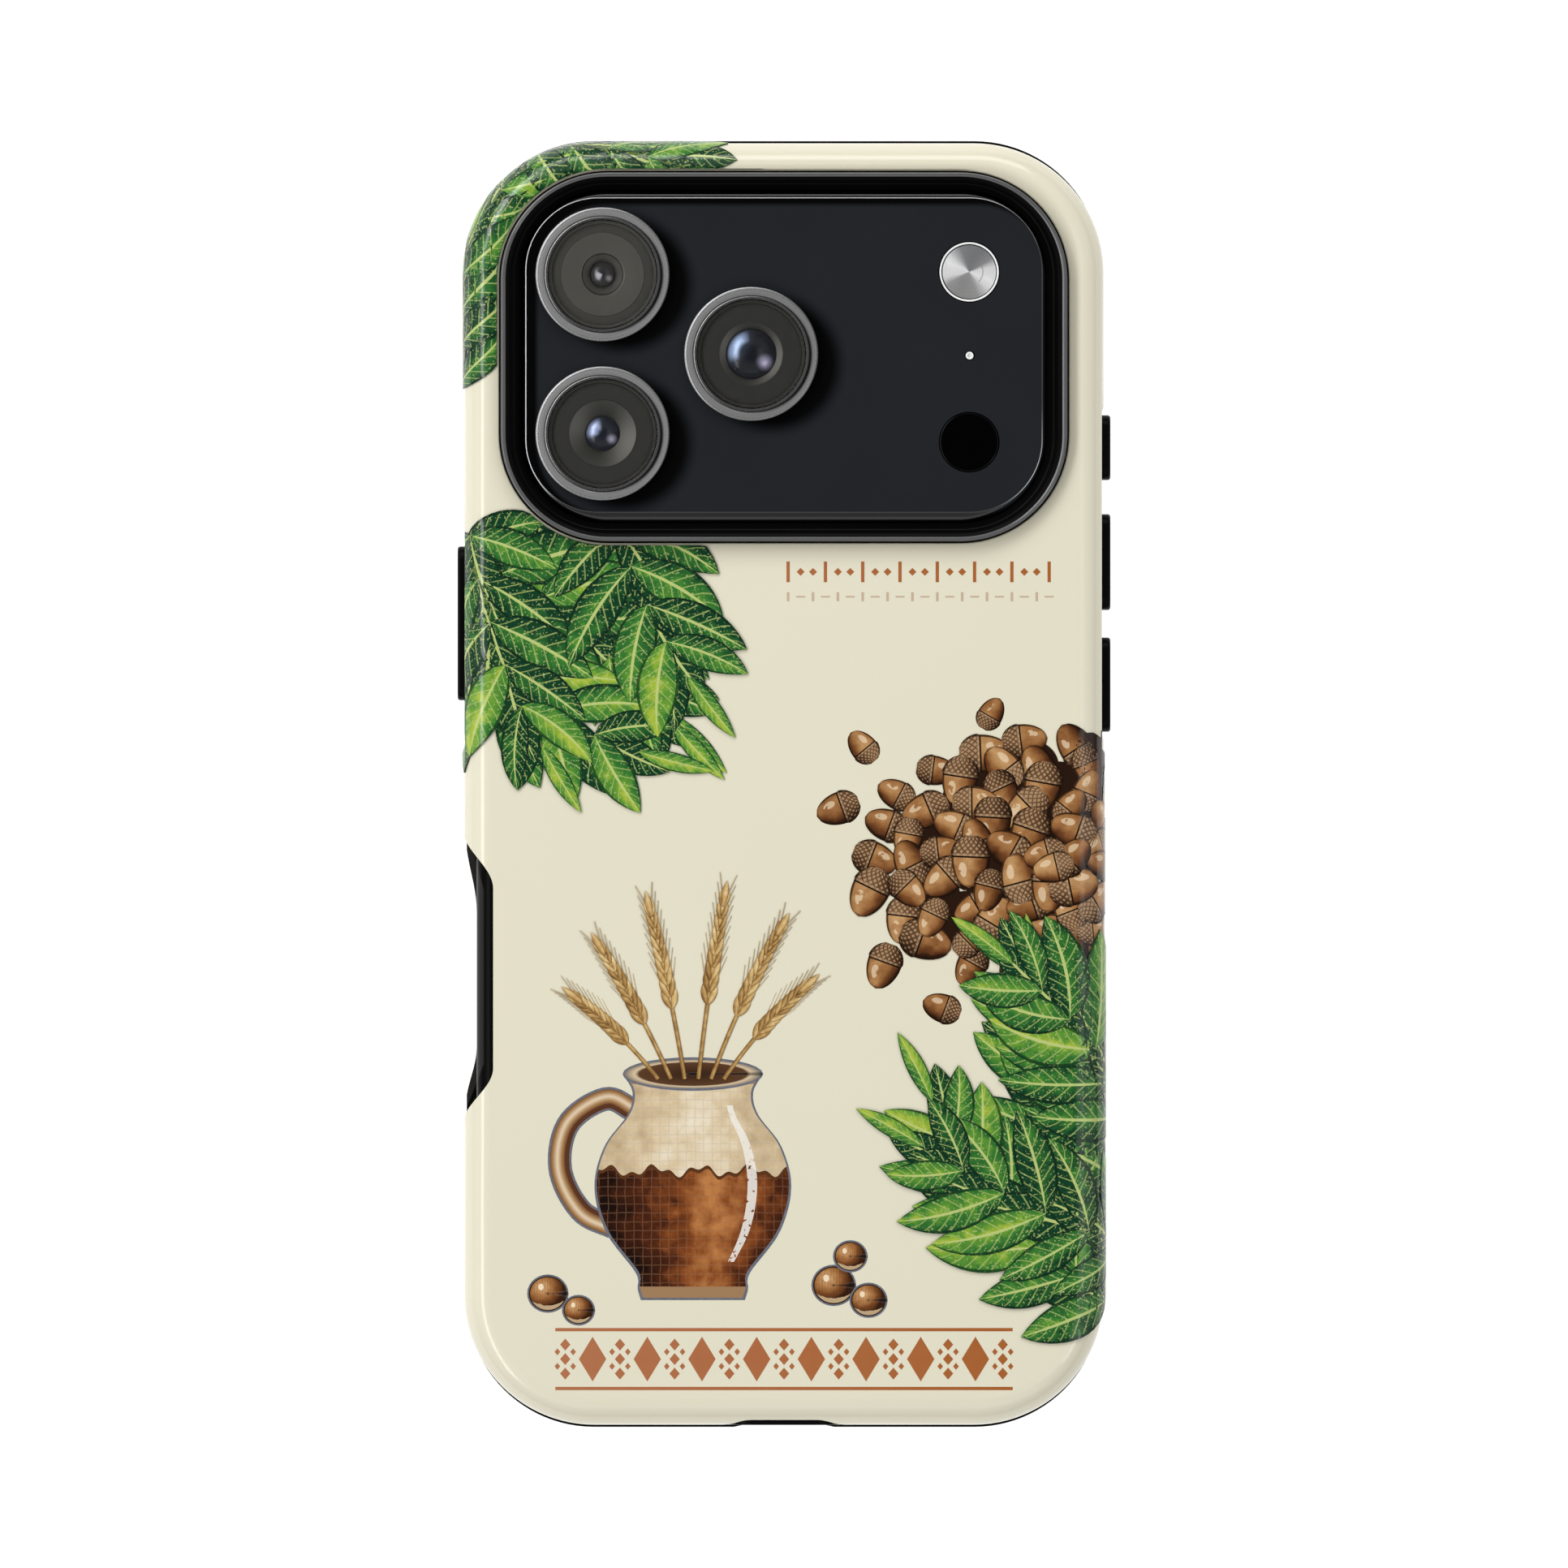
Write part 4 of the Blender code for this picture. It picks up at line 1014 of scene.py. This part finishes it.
def on_shell(plan, lift):
    """Lays plan points on the shell. Inside the roll they stay flat; outside, the distance from the flat runs
    round the roll as an arc and then down the wall. Points over the camera window move to its edge."""
    window = np.array(WINDOW_HALF) + WINDOW_MARGIN
    gap, way = past_edge(plan - np.array(WINDOW_CENTRE), window, WINDOW_CORNER + WINDOW_MARGIN)
    plan = plan - way * np.minimum(gap, 0)[..., None]
    past, way = past_edge(plan, FLAT_HALF, SHELL_CORNER - SHELL_ROLL)
    x, y = plan[..., 0], plan[..., 1]
    dished = (np.abs(x) > DISHED_X) & (y > DISHED_Y[0]) & (y < DISHED_Y[1])
    over = np.clip(past, 0, np.where(dished, DISH_ROLL, FULL_ROLL))
    foot = plan - way * np.maximum(past, 0)[..., None]
    turn = np.minimum(over / SHELL_ROLL, math.pi / 2)
    wall = np.maximum(over - SHELL_ROLL * math.pi / 2, 0)
    flat = foot + way * ((SHELL_ROLL + lift) * np.sin(turn))[..., None]
    height = SHELL_BACK_Z - SHELL_ROLL + (SHELL_ROLL + lift) * np.cos(turn) - wall
    return np.concatenate((flat, height[..., None]), -1)


def ink(name, sheets, paint, lift=INK_LIFT):
    """Joins sheets into one piece of closed films. A sheet is plan points (n, m, 2), s across, t along and a
    shade; its film has a top, a sunk bottom and a skirt between them. Each lies one step above the highest
    of the earlier sheets whose boxes meet its own."""
    points, faces, marks, shades = [], [], [], []
    start = 0
    boxes = np.array([(*sheet[0].min((0, 1)), *sheet[0].max((0, 1))) for sheet in sheets])
    layers = np.zeros(len(sheets))
    for order, (plan, s, t, shade) in enumerate(sheets):
        low, high = boxes[order, :2], boxes[order, 2:]
        met = (boxes[:order, :2] < high).all(1) & (boxes[:order, 2:] > low).all(1)
        layers[order] = 1 + max(layers[:order][met], default=-1)
        across, along = plan[1:, :-1] - plan[:-1, :-1], plan[:-1, 1:] - plan[:-1, :-1]
        if (across[..., 0] * along[..., 1] - across[..., 1] * along[..., 0]).sum() < 0:
            plan, s, t = plan[:, ::-1], s[:, ::-1], t[:, ::-1]
        n, m = s.shape
        index = np.arange(n * m).reshape(n, m)
        top = np.stack((index[:-1, :-1], index[1:, :-1], index[1:, 1:], index[:-1, 1:]), -1).reshape(-1, 4)
        rim = np.concatenate((index[:-1, 0], index[-1, :-1], index[:0:-1, -1], index[0, :0:-1]))
        after = np.roll(rim, -1)
        skirt = np.stack((rim, rim + n * m, after + n * m, after), -1)
        faces.append(np.concatenate((top, top[:, ::-1] + n * m, skirt)) + start)
        raised = on_shell(plan, lift + layers[order] * INK_STEP).reshape(-1, 3)
        points += [raised, on_shell(plan, -INK_DEPTH).reshape(-1, 3)]
        marks += [np.stack((s, t), -1).reshape(-1, 2)] * 2
        shades.append(np.full(2 * n * m, shade))
        start += 2 * n * m
    faces, marks = np.concatenate(faces), np.concatenate(marks)
    mesh = bpy.data.meshes.new(name)
    mesh.from_pydata((np.concatenate(points) * MM).tolist(), [], faces.tolist())
    mesh.uv_layers.new(name="ink").data.foreach_set("uv", marks[faces.ravel()].ravel().astype(np.float32))
    mesh.attributes.new("shade", "FLOAT", "POINT").data.foreach_set("value", np.concatenate(shades))
    weld(mesh, 2e-8)
    made = shown(name, mesh, paint, 40)
    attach(made, "root")
    return made


def ink_finish(name):
    """The gloss of the shell over ink: material, shader, the object's place, s, t and the sheet's shade."""
    made, shader, place = finish(name, 0.1)
    mark = Wire.node(place.tree, "ShaderNodeUVMap", {"uv_map": "ink"})
    shade = Wire.node(place.tree, "ShaderNodeAttribute", {"attribute_name": "shade"}, output=2)
    return made, shader, place, mark.axis(0), mark.axis(1), shade


def path(start, heading, length, bend, count):
    """A curve in the plan with an even bend: its points and headings. The heading turns by bend in all."""
    share = np.linspace(0, 1, count)
    headings = heading + bend * share
    steps = np.stack((np.cos(headings), np.sin(headings)), -1) * length / (count - 1)
    middles = np.concatenate(([np.zeros(2)], np.cumsum((steps[:-1] + steps[1:]) / 2, axis=0)))
    return np.array(start) + middles, headings


def strip(start, heading, length, bend, width_at, count=14, across=7, shade=0.5):
    """A sheet along a bending path: at share t it reaches width_at(t) to each side, where s is -1 and 1."""
    middles, headings = path(start, heading, length, bend, count)
    share = np.linspace(0, 1, count)
    s, t = np.meshgrid(np.linspace(-1, 1, across), share)
    side = np.stack((-np.sin(headings), np.cos(headings)), -1)
    plan = middles[:, None, :] + side[:, None, :] * (s * width_at(share)[:, None])[..., None]
    return plan, s, t, shade


# Foliage: sprays of pointed leaflets in pairs, painted from deep green to yellow-green with pale veins.
SPRAYS = (
    (-30, 33, -62, 30, 12, 5), (-39, 28, -28, 33, -22, 6), (-41, 20, -52, 29, 35, 5),
    (-38, 30, -80, 27, 18, 5), (-20, 31, -75, 20, 20, 4), (-40, 60, 75, 22, -38, 5),
    (-41, 48, 88, 18, -10, 4), (-31, 79, -10, 20, -8, 4), (43, -58, 128, 36, -34, 6),
    (43, -48, 108, 30, 26, 6), (40, -62, 152, 33, -38, 6), (43, -40, 120, 24, 20, 5),
    (42, -56, 160, 28, -12, 5),
)
LEAFLET = 12.5
LEAF_LIFT = 0.16
VEIN_PAIRS = 9.0
DEEP_GREEN = (0.006, 0.045, 0.018)
MID_GREEN = (0.035, 0.175, 0.030)
LIME = (0.36, 0.47, 0.045)
VEIN = (0.42, 0.52, 0.16)


def from_middle(steps):
    """How far a wire is from the middle of each of its whole steps, 0 to 0.5."""
    return abs(steps.math("FRACT") - 0.5)


def leaf_width(width):
    """A pointed leaf: it widens as the root of t and closes as a cosine does."""
    return lambda t: width * np.power(np.maximum(t, 0), 0.6) * np.cos(t * math.pi / 2) ** 0.9 * 1.45


def spray(x, y, heading, length, bend, pairs):
    """A stem with pairs of leaflets that lean forward and shorten towards its tip, then one at the end."""
    start, heading, bend = (x, y), math.radians(heading), math.radians(bend)
    middles, headings = path(start, heading, length, bend, pairs + 1)
    sheets = []
    for k in range(pairs):
        share = k / pairs
        size = LEAFLET * (0.78 + 0.5 * math.sin(math.pi * (share * 0.75 + 0.15))) * (1 - 0.35 * share)
        lean, curl = rng.uniform(-0.4, 0.4), rng.uniform(-0.4, 0.4)
        under = strip(middles[k], headings[k] + lean, size, curl, leaf_width(size * 0.3), shade=-0.3)
        sheets.insert(0, under)
        for side in (-1, 1):
            lean = side * math.radians(62 - 24 * share + rng.uniform(-8, 8))
            curl = -side * math.radians(rng.uniform(8, 34))
            size_here = size * rng.uniform(0.88, 1.1)
            wide = leaf_width(size_here * rng.uniform(0.23, 0.32))
            shade = rng.uniform(0, 1)
            sheets.append(strip(middles[k], headings[k] + lean, size_here, curl, wide, shade=shade))
    stem = strip(start, heading, length, bend, lambda t: 0.42 - 0.25 * t, across=3)
    tip = strip(middles[-1], headings[-1], LEAFLET * 0.75, 0.1, leaf_width(LEAFLET * 0.13), shade=0.9)
    return [(*stem[:3], -1.0)] + sheets + [tip]


leaf_ink, shader, place, s, t, shade = ink_finish("leaf_ink")
side = abs(s)
blotch = noise(place, 0.55, detail=4)
fine = noise(place, 2.6, detail=3)
body_tone = shade * 0.62 + blotch * 1.0 + t * 0.22 - side * 0.35 - (s > 0) * 0.16 - 0.30
green = body_tone.ramp((0.05, DEEP_GREEN), (0.42, MID_GREEN), (0.66, (0.12, 0.30, 0.035)), (0.9, LIME))
veins = from_middle(t * VEIN_PAIRS - side * 1.6) < 0.075
dots = (noise(place, 3.4, detail=1) > 0.64) * 0.5
green = coats(green, (veins * (side < 0.86) * 0.55, VEIN), (dots, (0.50, 0.60, 0.22)),
              ((side < 0.07) * 0.9, (0.50, 0.58, 0.20)), ((side > 0.86) * 0.75, (0.004, 0.020, 0.010)),
              (shade < -0.5, (0.10, 0.16, 0.035)))
feed(shader, Base_Color=green, Roughness=0.085 + fine * 0.03)
sheets = [sheet for row in SPRAYS for sheet in spray(*row)]
ink("leaf_print", sheets, leaf_ink, lift=LEAF_LIFT)


# Acorns: a heap that the right edge cuts off, with a few loose ones beside it. Each has a scaly cup and a
# smooth nut with one highlight, so the browns run from nearly black to tan.
HEAP_MIDDLE = (33.0, -9.0)
HEAP_HALF = (23.0, 14.0)
ACORN = (6.0, 2.15)
CUP_SHARE = 0.4
LIGHT_FROM = (-0.6, 0.8)
LOOSE = ((6.5, -3.0, 200, 0.9), (9.5, 4.5, 130, 0.75), (12.0, -22.0, 250, 0.95), (19.0, -27.0, 160, 0.8),
         (25.0, 8.5, 60, 0.7))
HEAP_FLOOR = 40
HEAP_RINGS = ((1.0, 22), (0.82, 20), (0.64, 17), (0.45, 13), (0.26, 8), (0.08, 3))


def acorn_width(width):
    """Half widths of an acorn: a round cup up to its share, then an ellipse that ends in a small spur."""
    def at(t):
        cup = width * 1.08 * np.sqrt(np.clip(1 - ((CUP_SHARE - t) / (CUP_SHARE + 0.02)) ** 2, 0, 1))
        nut = width * np.clip(1 - ((t - CUP_SHARE) / (1 - CUP_SHARE)) ** 2, 0, 1) ** 0.55 + 0.02 * width
        return np.where(t < CUP_SHARE, cup, nut)
    return at


def acorn(x, y, heading, scale, shade=None):
    """One acorn as a sheet about its middle. Its s grows towards the upper left, where the light is."""
    length, width = ACORN[0] * scale, ACORN[1] * scale
    heading = math.radians(heading)
    start = np.array((x, y)) - np.array((math.cos(heading), math.sin(heading))) * length / 2
    shade = rng.uniform(0, 1) if shade is None else shade
    plan, s, t, shade = strip(start, heading, length, 0.0, acorn_width(width), 21, 9, shade)
    lit_side = -math.sin(heading) * LIGHT_FROM[0] + math.cos(heading) * LIGHT_FROM[1]
    return plan, s if lit_side > 0 else -s, t, shade


acorn_ink, shader, place, s, t, shade = ink_finish("acorn_ink")
side = abs(s)
blotch = noise(place, 0.9, detail=4)
lit = 1.0 - (s - 0.35) ** 2 * 0.62
fibre = from_middle(s * 9.0 + blotch * 3.0)
nut_tone = lit * 0.62 + blotch * 0.42 + shade * 0.22 - fibre * 0.16 - t * 0.08 - 0.16
nut = nut_tone.ramp((0.10, (0.022, 0.008, 0.003)), (0.40, (0.15, 0.052, 0.016)),
                    (0.62, (0.33, 0.15, 0.050)), (0.90, (0.60, 0.36, 0.16)))
gleam = ((s - 0.42) ** 2 / 0.05 + (t - 0.66) ** 2 / 0.02) < 1.0
nut = coats(nut, (gleam * (blotch > 0.42) * 0.5, (0.88, 0.72, 0.50)),
            ((t > 0.95) * 0.7, (0.07, 0.030, 0.012)))
slants = [from_middle(s * 3.2 + t * way * 8.0) for way in (1, -1)]
scales = slants[0].at_most(slants[1])
cup_tone = lit * 0.42 + scales * 1.5 + shade * 0.15 + blotch * 0.2 - 0.18
cup = cup_tone.ramp((0.12, (0.012, 0.006, 0.003)), (0.5, (0.11, 0.055, 0.026)), (0.9, (0.42, 0.26, 0.14)))
brim = abs(t - CUP_SHARE + 0.025) < 0.022
seam = abs(t - CUP_SHARE - 0.012) < 0.016
brown = coats(nut, (t < CUP_SHARE, cup), (brim * lit * 0.6, (0.42, 0.27, 0.15)),
              (seam, (0.010, 0.004, 0.002)), ((side > 0.88) * 0.85, (0.012, 0.005, 0.002)),
              (shade < -0.1, (0.020, 0.008, 0.004)))
feed(shader, Base_Color=brown, Roughness=0.085 + blotch * 0.03)
sheets = []
for k in range(HEAP_FLOOR):
    around = math.tau * k / HEAP_FLOOR * 2.4
    reach = 0.86 * math.sqrt((k + 0.5) / HEAP_FLOOR)
    x = HEAP_MIDDLE[0] + HEAP_HALF[0] * reach * math.cos(around)
    y = HEAP_MIDDLE[1] + HEAP_HALF[1] * reach * math.sin(around)
    sheets.append(acorn(min(x, 44), y, rng.uniform(0, 360), 1.25, -0.4))
for ring_share, count in HEAP_RINGS:
    for k in range(count):
        around = math.tau * (k + rng.uniform(-0.25, 0.25)) / count + ring_share * 2
        x = HEAP_MIDDLE[0] + HEAP_HALF[0] * ring_share * math.cos(around) * rng.uniform(0.93, 1.04)
        y = HEAP_MIDDLE[1] + HEAP_HALF[1] * ring_share * math.sin(around) * rng.uniform(0.93, 1.04)
        if x < 46:
            sheets.append(acorn(x, y, rng.uniform(0, 360), rng.uniform(0.8, 1.08)))
sheets = [acorn(*row) for row in LOOSE] + sheets
ink("acorn_print", sheets, acorn_ink)


# Jug: a glazed pot with a pale upper band in small tiles, a brown lower glaze that runs, a loop handle and
# a thin slate outline. Dried ears of wheat stand in it and a few hazelnuts lie beside it.
JUG_FOOT = (-11.0, -62.0)
JUG_HEIGHT = 27.0
JUG_WIDTHS = ((0.0, 6.0), (0.05, 6.4), (0.12, 6.6), (0.3, 10.2), (0.5, 11.6), (0.68, 10.4), (0.82, 7.6),
              (0.92, 7.0), (1.0, 8.2))
MOUTH = (8.2, 1.75)
HANDLE = ((-7.0, 22.5), (-10.5, 24.0), (-15.0, 21.0), (-16.0, 15.5), (-13.5, 10.5), (-9.6, 8.5))
NUTS = ((6.0, -60.5, 2.5), (10.2, -62.3, 2.1), (8.0, -57.0, 1.9), (-28.5, -61.5, 2.3), (-24.8, -63.5, 1.8))
OUTLINE = 0.28
TILE_LINE = 0.11


def jug_width(more=0.0):
    """Half widths of the jug, on a smooth curve through its widths."""
    curve = smooth(JUG_WIDTHS, 6)
    return lambda t: np.interp(t, curve[:, 0], curve[:, 1]) + more


def tube(points, width, shade, count=40, across=7):
    """A sheet of even width along a smooth curve through points in millimetres."""
    curve = smooth(points, 12)
    pick = np.linspace(0, len(curve) - 1, count)
    curve = np.stack([np.interp(pick, np.arange(len(curve)), curve[:, k]) for k in (0, 1)], -1)
    ways = np.gradient(curve, axis=0)
    ways /= np.linalg.norm(ways, axis=1)[:, None]
    side = np.stack((-ways[:, 1], ways[:, 0]), -1)
    s, t = np.meshgrid(np.linspace(-1, 1, across), np.linspace(0, 1, count))
    return curve[:, None, :] + side[:, None, :] * (s * width)[..., None], s, t, shade


def oval(x, y, half_x, half_y, shade, rings=8, sides=28):
    """An ellipse as a sheet: t runs from its middle to its edge and s goes round it."""
    t, turn = np.meshgrid(np.linspace(0, 1, rings), np.linspace(0, math.tau, sides + 1), indexing="ij")
    plan = np.stack((x + half_x * t * np.cos(turn), y + half_y * t * np.sin(turn)), -1)
    return plan, turn / math.pi - 1, t, shade


jug_ink, shader, place, s, t, shade = ink_finish("jug_ink")
side = abs(s)
blotch = noise(place, 0.5, detail=5)
crackle = noise(place, 1.6, detail=3)
x = place.axis(0)
columns, courses = [(place.axis(k) * 0.95 + blotch * 0.5).math("FRACT") < TILE_LINE for k in (0, 1)]
lines = columns.at_least(courses)
tone = blotch * 0.8 + 0.35 - side * 0.35
cream = tone.ramp((0.2, (0.42, 0.29, 0.15)), (0.6, (0.70, 0.56, 0.36)), (0.9, (0.84, 0.76, 0.60)))
cream = tint(lines * 0.35, cream, (0.45, 0.40, 0.33))
glow = abs(s + 0.25)
tone = blotch * 0.75 + 0.42 - glow * 0.55
glaze = tone.ramp((0.1, (0.010, 0.004, 0.003)), (0.4, (0.070, 0.017, 0.006)),
                  (0.62, (0.23, 0.062, 0.014)), (0.85, (0.50, 0.20, 0.060)))
glaze = tint(lines * 0.30, glaze, (0.30, 0.15, 0.08))
drip = (x * 1.1).math("SINE") * 0.018 + (x * 2.7 + 1.0).math("SINE") * 0.012
over_glaze = t - drip - 0.56
gleam = (abs(s + 0.62) < 0.05) * (t > 0.16) * (t < 0.86) * (crackle > 0.38)
paint = coats(glaze, (over_glaze > 0, cream), (abs(over_glaze) < 0.008, (0.10, 0.035, 0.012)),
              (gleam * 0.75, (0.88, 0.86, 0.80)), ((t > 0.955).at_least(t < 0.05), (0.34, 0.20, 0.10)))
slate = tint(crackle, (0.09, 0.10, 0.13), (0.20, 0.21, 0.25))
handle = (glow * 1.2).ramp((0.0, (0.74, 0.60, 0.42)), (0.5, (0.40, 0.22, 0.09)), (1.0, (0.10, 0.035, 0.015)))
mouth = t.ramp((0.0, (0.030, 0.012, 0.006)), (0.8, (0.10, 0.045, 0.02)), (0.86, (0.66, 0.52, 0.34)),
               (1.0, (0.22, 0.18, 0.14)))
turn = (s + 1.0) * math.pi
right, up = t * turn.math("COSINE"), t * turn.math("SINE")
lit = 1.0 - (right + 0.32) ** 2 * 0.75 - (up - 0.35) ** 2 * 0.75
tone = lit * 0.8 + crackle * 0.25
nut = tone.ramp((0.15, (0.030, 0.010, 0.004)), (0.55, (0.19, 0.065, 0.018)),
                (0.80, (0.42, 0.19, 0.065)), (1.0, (0.66, 0.40, 0.19)))
fibre = from_middle(right * 7.0 + crackle) < 0.10
heel = up < (right ** 2 * 0.35 + crackle * 0.2 - 0.78)
gleam = ((right + 0.36) ** 2 / 0.02 + (up - 0.38) ** 2 / 0.035) < 1.0
nut = coats(nut, (fibre * 0.35, (0.08, 0.028, 0.010)), (heel, (0.50, 0.36, 0.21)),
            (gleam, (0.86, 0.70, 0.48)), (t > 0.93, (0.030, 0.012, 0.005)))
paint = coats(paint, (shade > 0.5, slate), (shade > 1.5, handle), (shade > 2.5, mouth), (shade > 3.5, nut))
feed(shader, Base_Color=paint, Roughness=0.085 + crackle * 0.03)

foot = np.array(JUG_FOOT)
rim_y = JUG_FOOT[1] + JUG_HEIGHT
loop = foot + np.array(HANDLE)
sheets = [tube(loop, 1.15 + OUTLINE, 1.0), tube(loop, 1.15, 2.0)]
low = foot - (0, OUTLINE)
sheets.append(strip(low, math.pi / 2, JUG_HEIGHT + OUTLINE, 0, jug_width(OUTLINE), 50, 15, 1.0))
sheets.append(strip(foot, math.pi / 2, JUG_HEIGHT, 0, jug_width(), 60, 21, 0.0))
for more, tone in ((OUTLINE, 1.0), (0, 3.0)):
    sheets.append(oval(JUG_FOOT[0], rim_y, MOUTH[0] + more, MOUTH[1] + more, tone))
for x, y, size in NUTS:
    sheets.append(oval(x, y, size + 0.2, size * 0.92 + 0.2, 1.0))
    sheets.append(oval(x, y, size, size * 0.92, 4.0))
ink("jug_print", sheets, jug_ink)

STALKS = ((-38, 13, -14), (34, 14, 14), (-24, 17, -8), (20, 19, 9), (-9, 20, -5), (6, 21, 4))
WHEAT_LIFT = 0.04
wheat_ink, shader, place, s, t, shade = ink_finish("wheat_ink")
side = abs(s)
blotch = noise(place, 1.1, detail=4)
tone = blotch * 0.6 + shade * 0.3 - side * 0.25 - (s > 0) * 0.10 + t * 0.2
gold = tone.ramp((0.0, (0.12, 0.055, 0.016)), (0.28, (0.34, 0.19, 0.06)), (0.55, (0.62, 0.42, 0.17)),
                 (0.85, (0.86, 0.74, 0.48)))
gold = tint((side > 0.84) * 0.7, gold, (0.13, 0.06, 0.02))
feed(shader, Base_Color=gold, Roughness=0.085 + blotch * 0.03)
sheets = []
for lean, length, bend in STALKS:
    heading, bend = math.radians(90 - lean), math.radians(-bend)
    start = (JUG_FOOT[0] + lean * 0.11, rim_y - 0.6)
    middles, headings = path(start, heading, length, bend, 15)
    sheets.append(strip(start, heading, length, bend, lambda t: 0.26 + 0 * t, across=3, shade=0.4))
    for k in range(6, 15):
        size = 3.6 - 0.12 * k
        for way in (-1, 1):
            leaning, straighter = headings[k] + way * math.radians(30), headings[k] + way * 0.2
            awn = strip(middles[k], straighter, size * 2.2, way * 0.1, lambda t: 0.06 * (1.2 - t), 6, 3, 0.7)
            sheets.append(awn)
            grain_width, shade = leaf_width(size * 0.2), rng.uniform(0, 1)
            sheets.append(strip(middles[k], leaning, size, -way * 0.5, grain_width, 9, 5, shade))
    sheets.append(strip(middles[-1], headings[-1], 3.2, 0, leaf_width(0.62), 9, 5, 0.8))
ink("wheat_print", sheets, wheat_ink, lift=WHEAT_LIFT)


# Borders: a terracotta band of lozenges and bars near the lower edge, and two fine dotted lines below the
# window, in the colours of fired clay.
BAND_LOW = -72.6
BAND_HEIGHT = 6.4
BAND_HALF = 26.4
BAND_STEP = 6.6


def block(x, y, half_x, half_y, shade, corner=0.0, across=5):
    """A bar, or with corner 1 a lozenge, whose half width falls towards its ends."""
    s, t = np.meshgrid(np.linspace(-1, 1, across), np.linspace(0, 1, 9))
    wide = half_x * (1 - corner * np.abs(2 * t - 1))
    return np.stack((x + s * wide, y + (2 * t - 1) * half_y), -1), s, t, shade


clay_ink, shader, place, s, t, shade = ink_finish("clay_ink")
blotch = noise(place, 0.7, detail=4)
across = place.axis(0) / (2 * BAND_HALF) + 0.5
clay = across.ramp((0.0, (0.42, 0.155, 0.072)), (1.0, (0.36, 0.105, 0.020)))
clay = coats(clay, (blotch * 0.25, (0.50, 0.22, 0.10)), (shade * 0.8, (0.60, 0.50, 0.38)))
feed(shader, Base_Color=clay, Roughness=0.085 + blotch * 0.03)
sheets = []
middle = BAND_LOW + BAND_HEIGHT / 2
count = round(2 * BAND_HALF / BAND_STEP)
for end in (-1, 1):
    sheets.append(block(0.0, middle + end * (BAND_HEIGHT / 2 + 0.35), BAND_HALF + 1.2, 0.2, 0.0, across=81))
for k in range(2 * count + 1):
    x = -BAND_HALF + k * BAND_STEP / 2
    if k % 2:
        sheets.append(block(x, middle, 1.65, BAND_HEIGHT / 2 - 0.5, 0.0, corner=1.0))
    else:
        for step in (-1, 0, 1):
            sheets.append(block(x, middle + step * 1.75, 0.62, 0.72, 0.0, corner=1.0))
        for way in (-1, 1):
            for rise in (0.875, -0.875):
                sheets.append(block(x + way * 0.95, middle + rise, 0.34, 0.42, 0.0, corner=1.0))
for k in range(22):
    x = 0.5 + k * 1.5
    sheets.append(block(x, 25.6, 0.48, 0.48, 0.0, corner=1.0) if k % 3 else block(x, 25.6, 0.2, 1.25, 0.0))
    sheets.append(block(x, 22.6, 0.55 if k % 2 else 0.16, 0.10 if k % 2 else 0.55, 1.0))
ink("border_print", sheets, clay_ink)


size = [[list(corner) for corner in box] for box in (cad_box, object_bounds())]
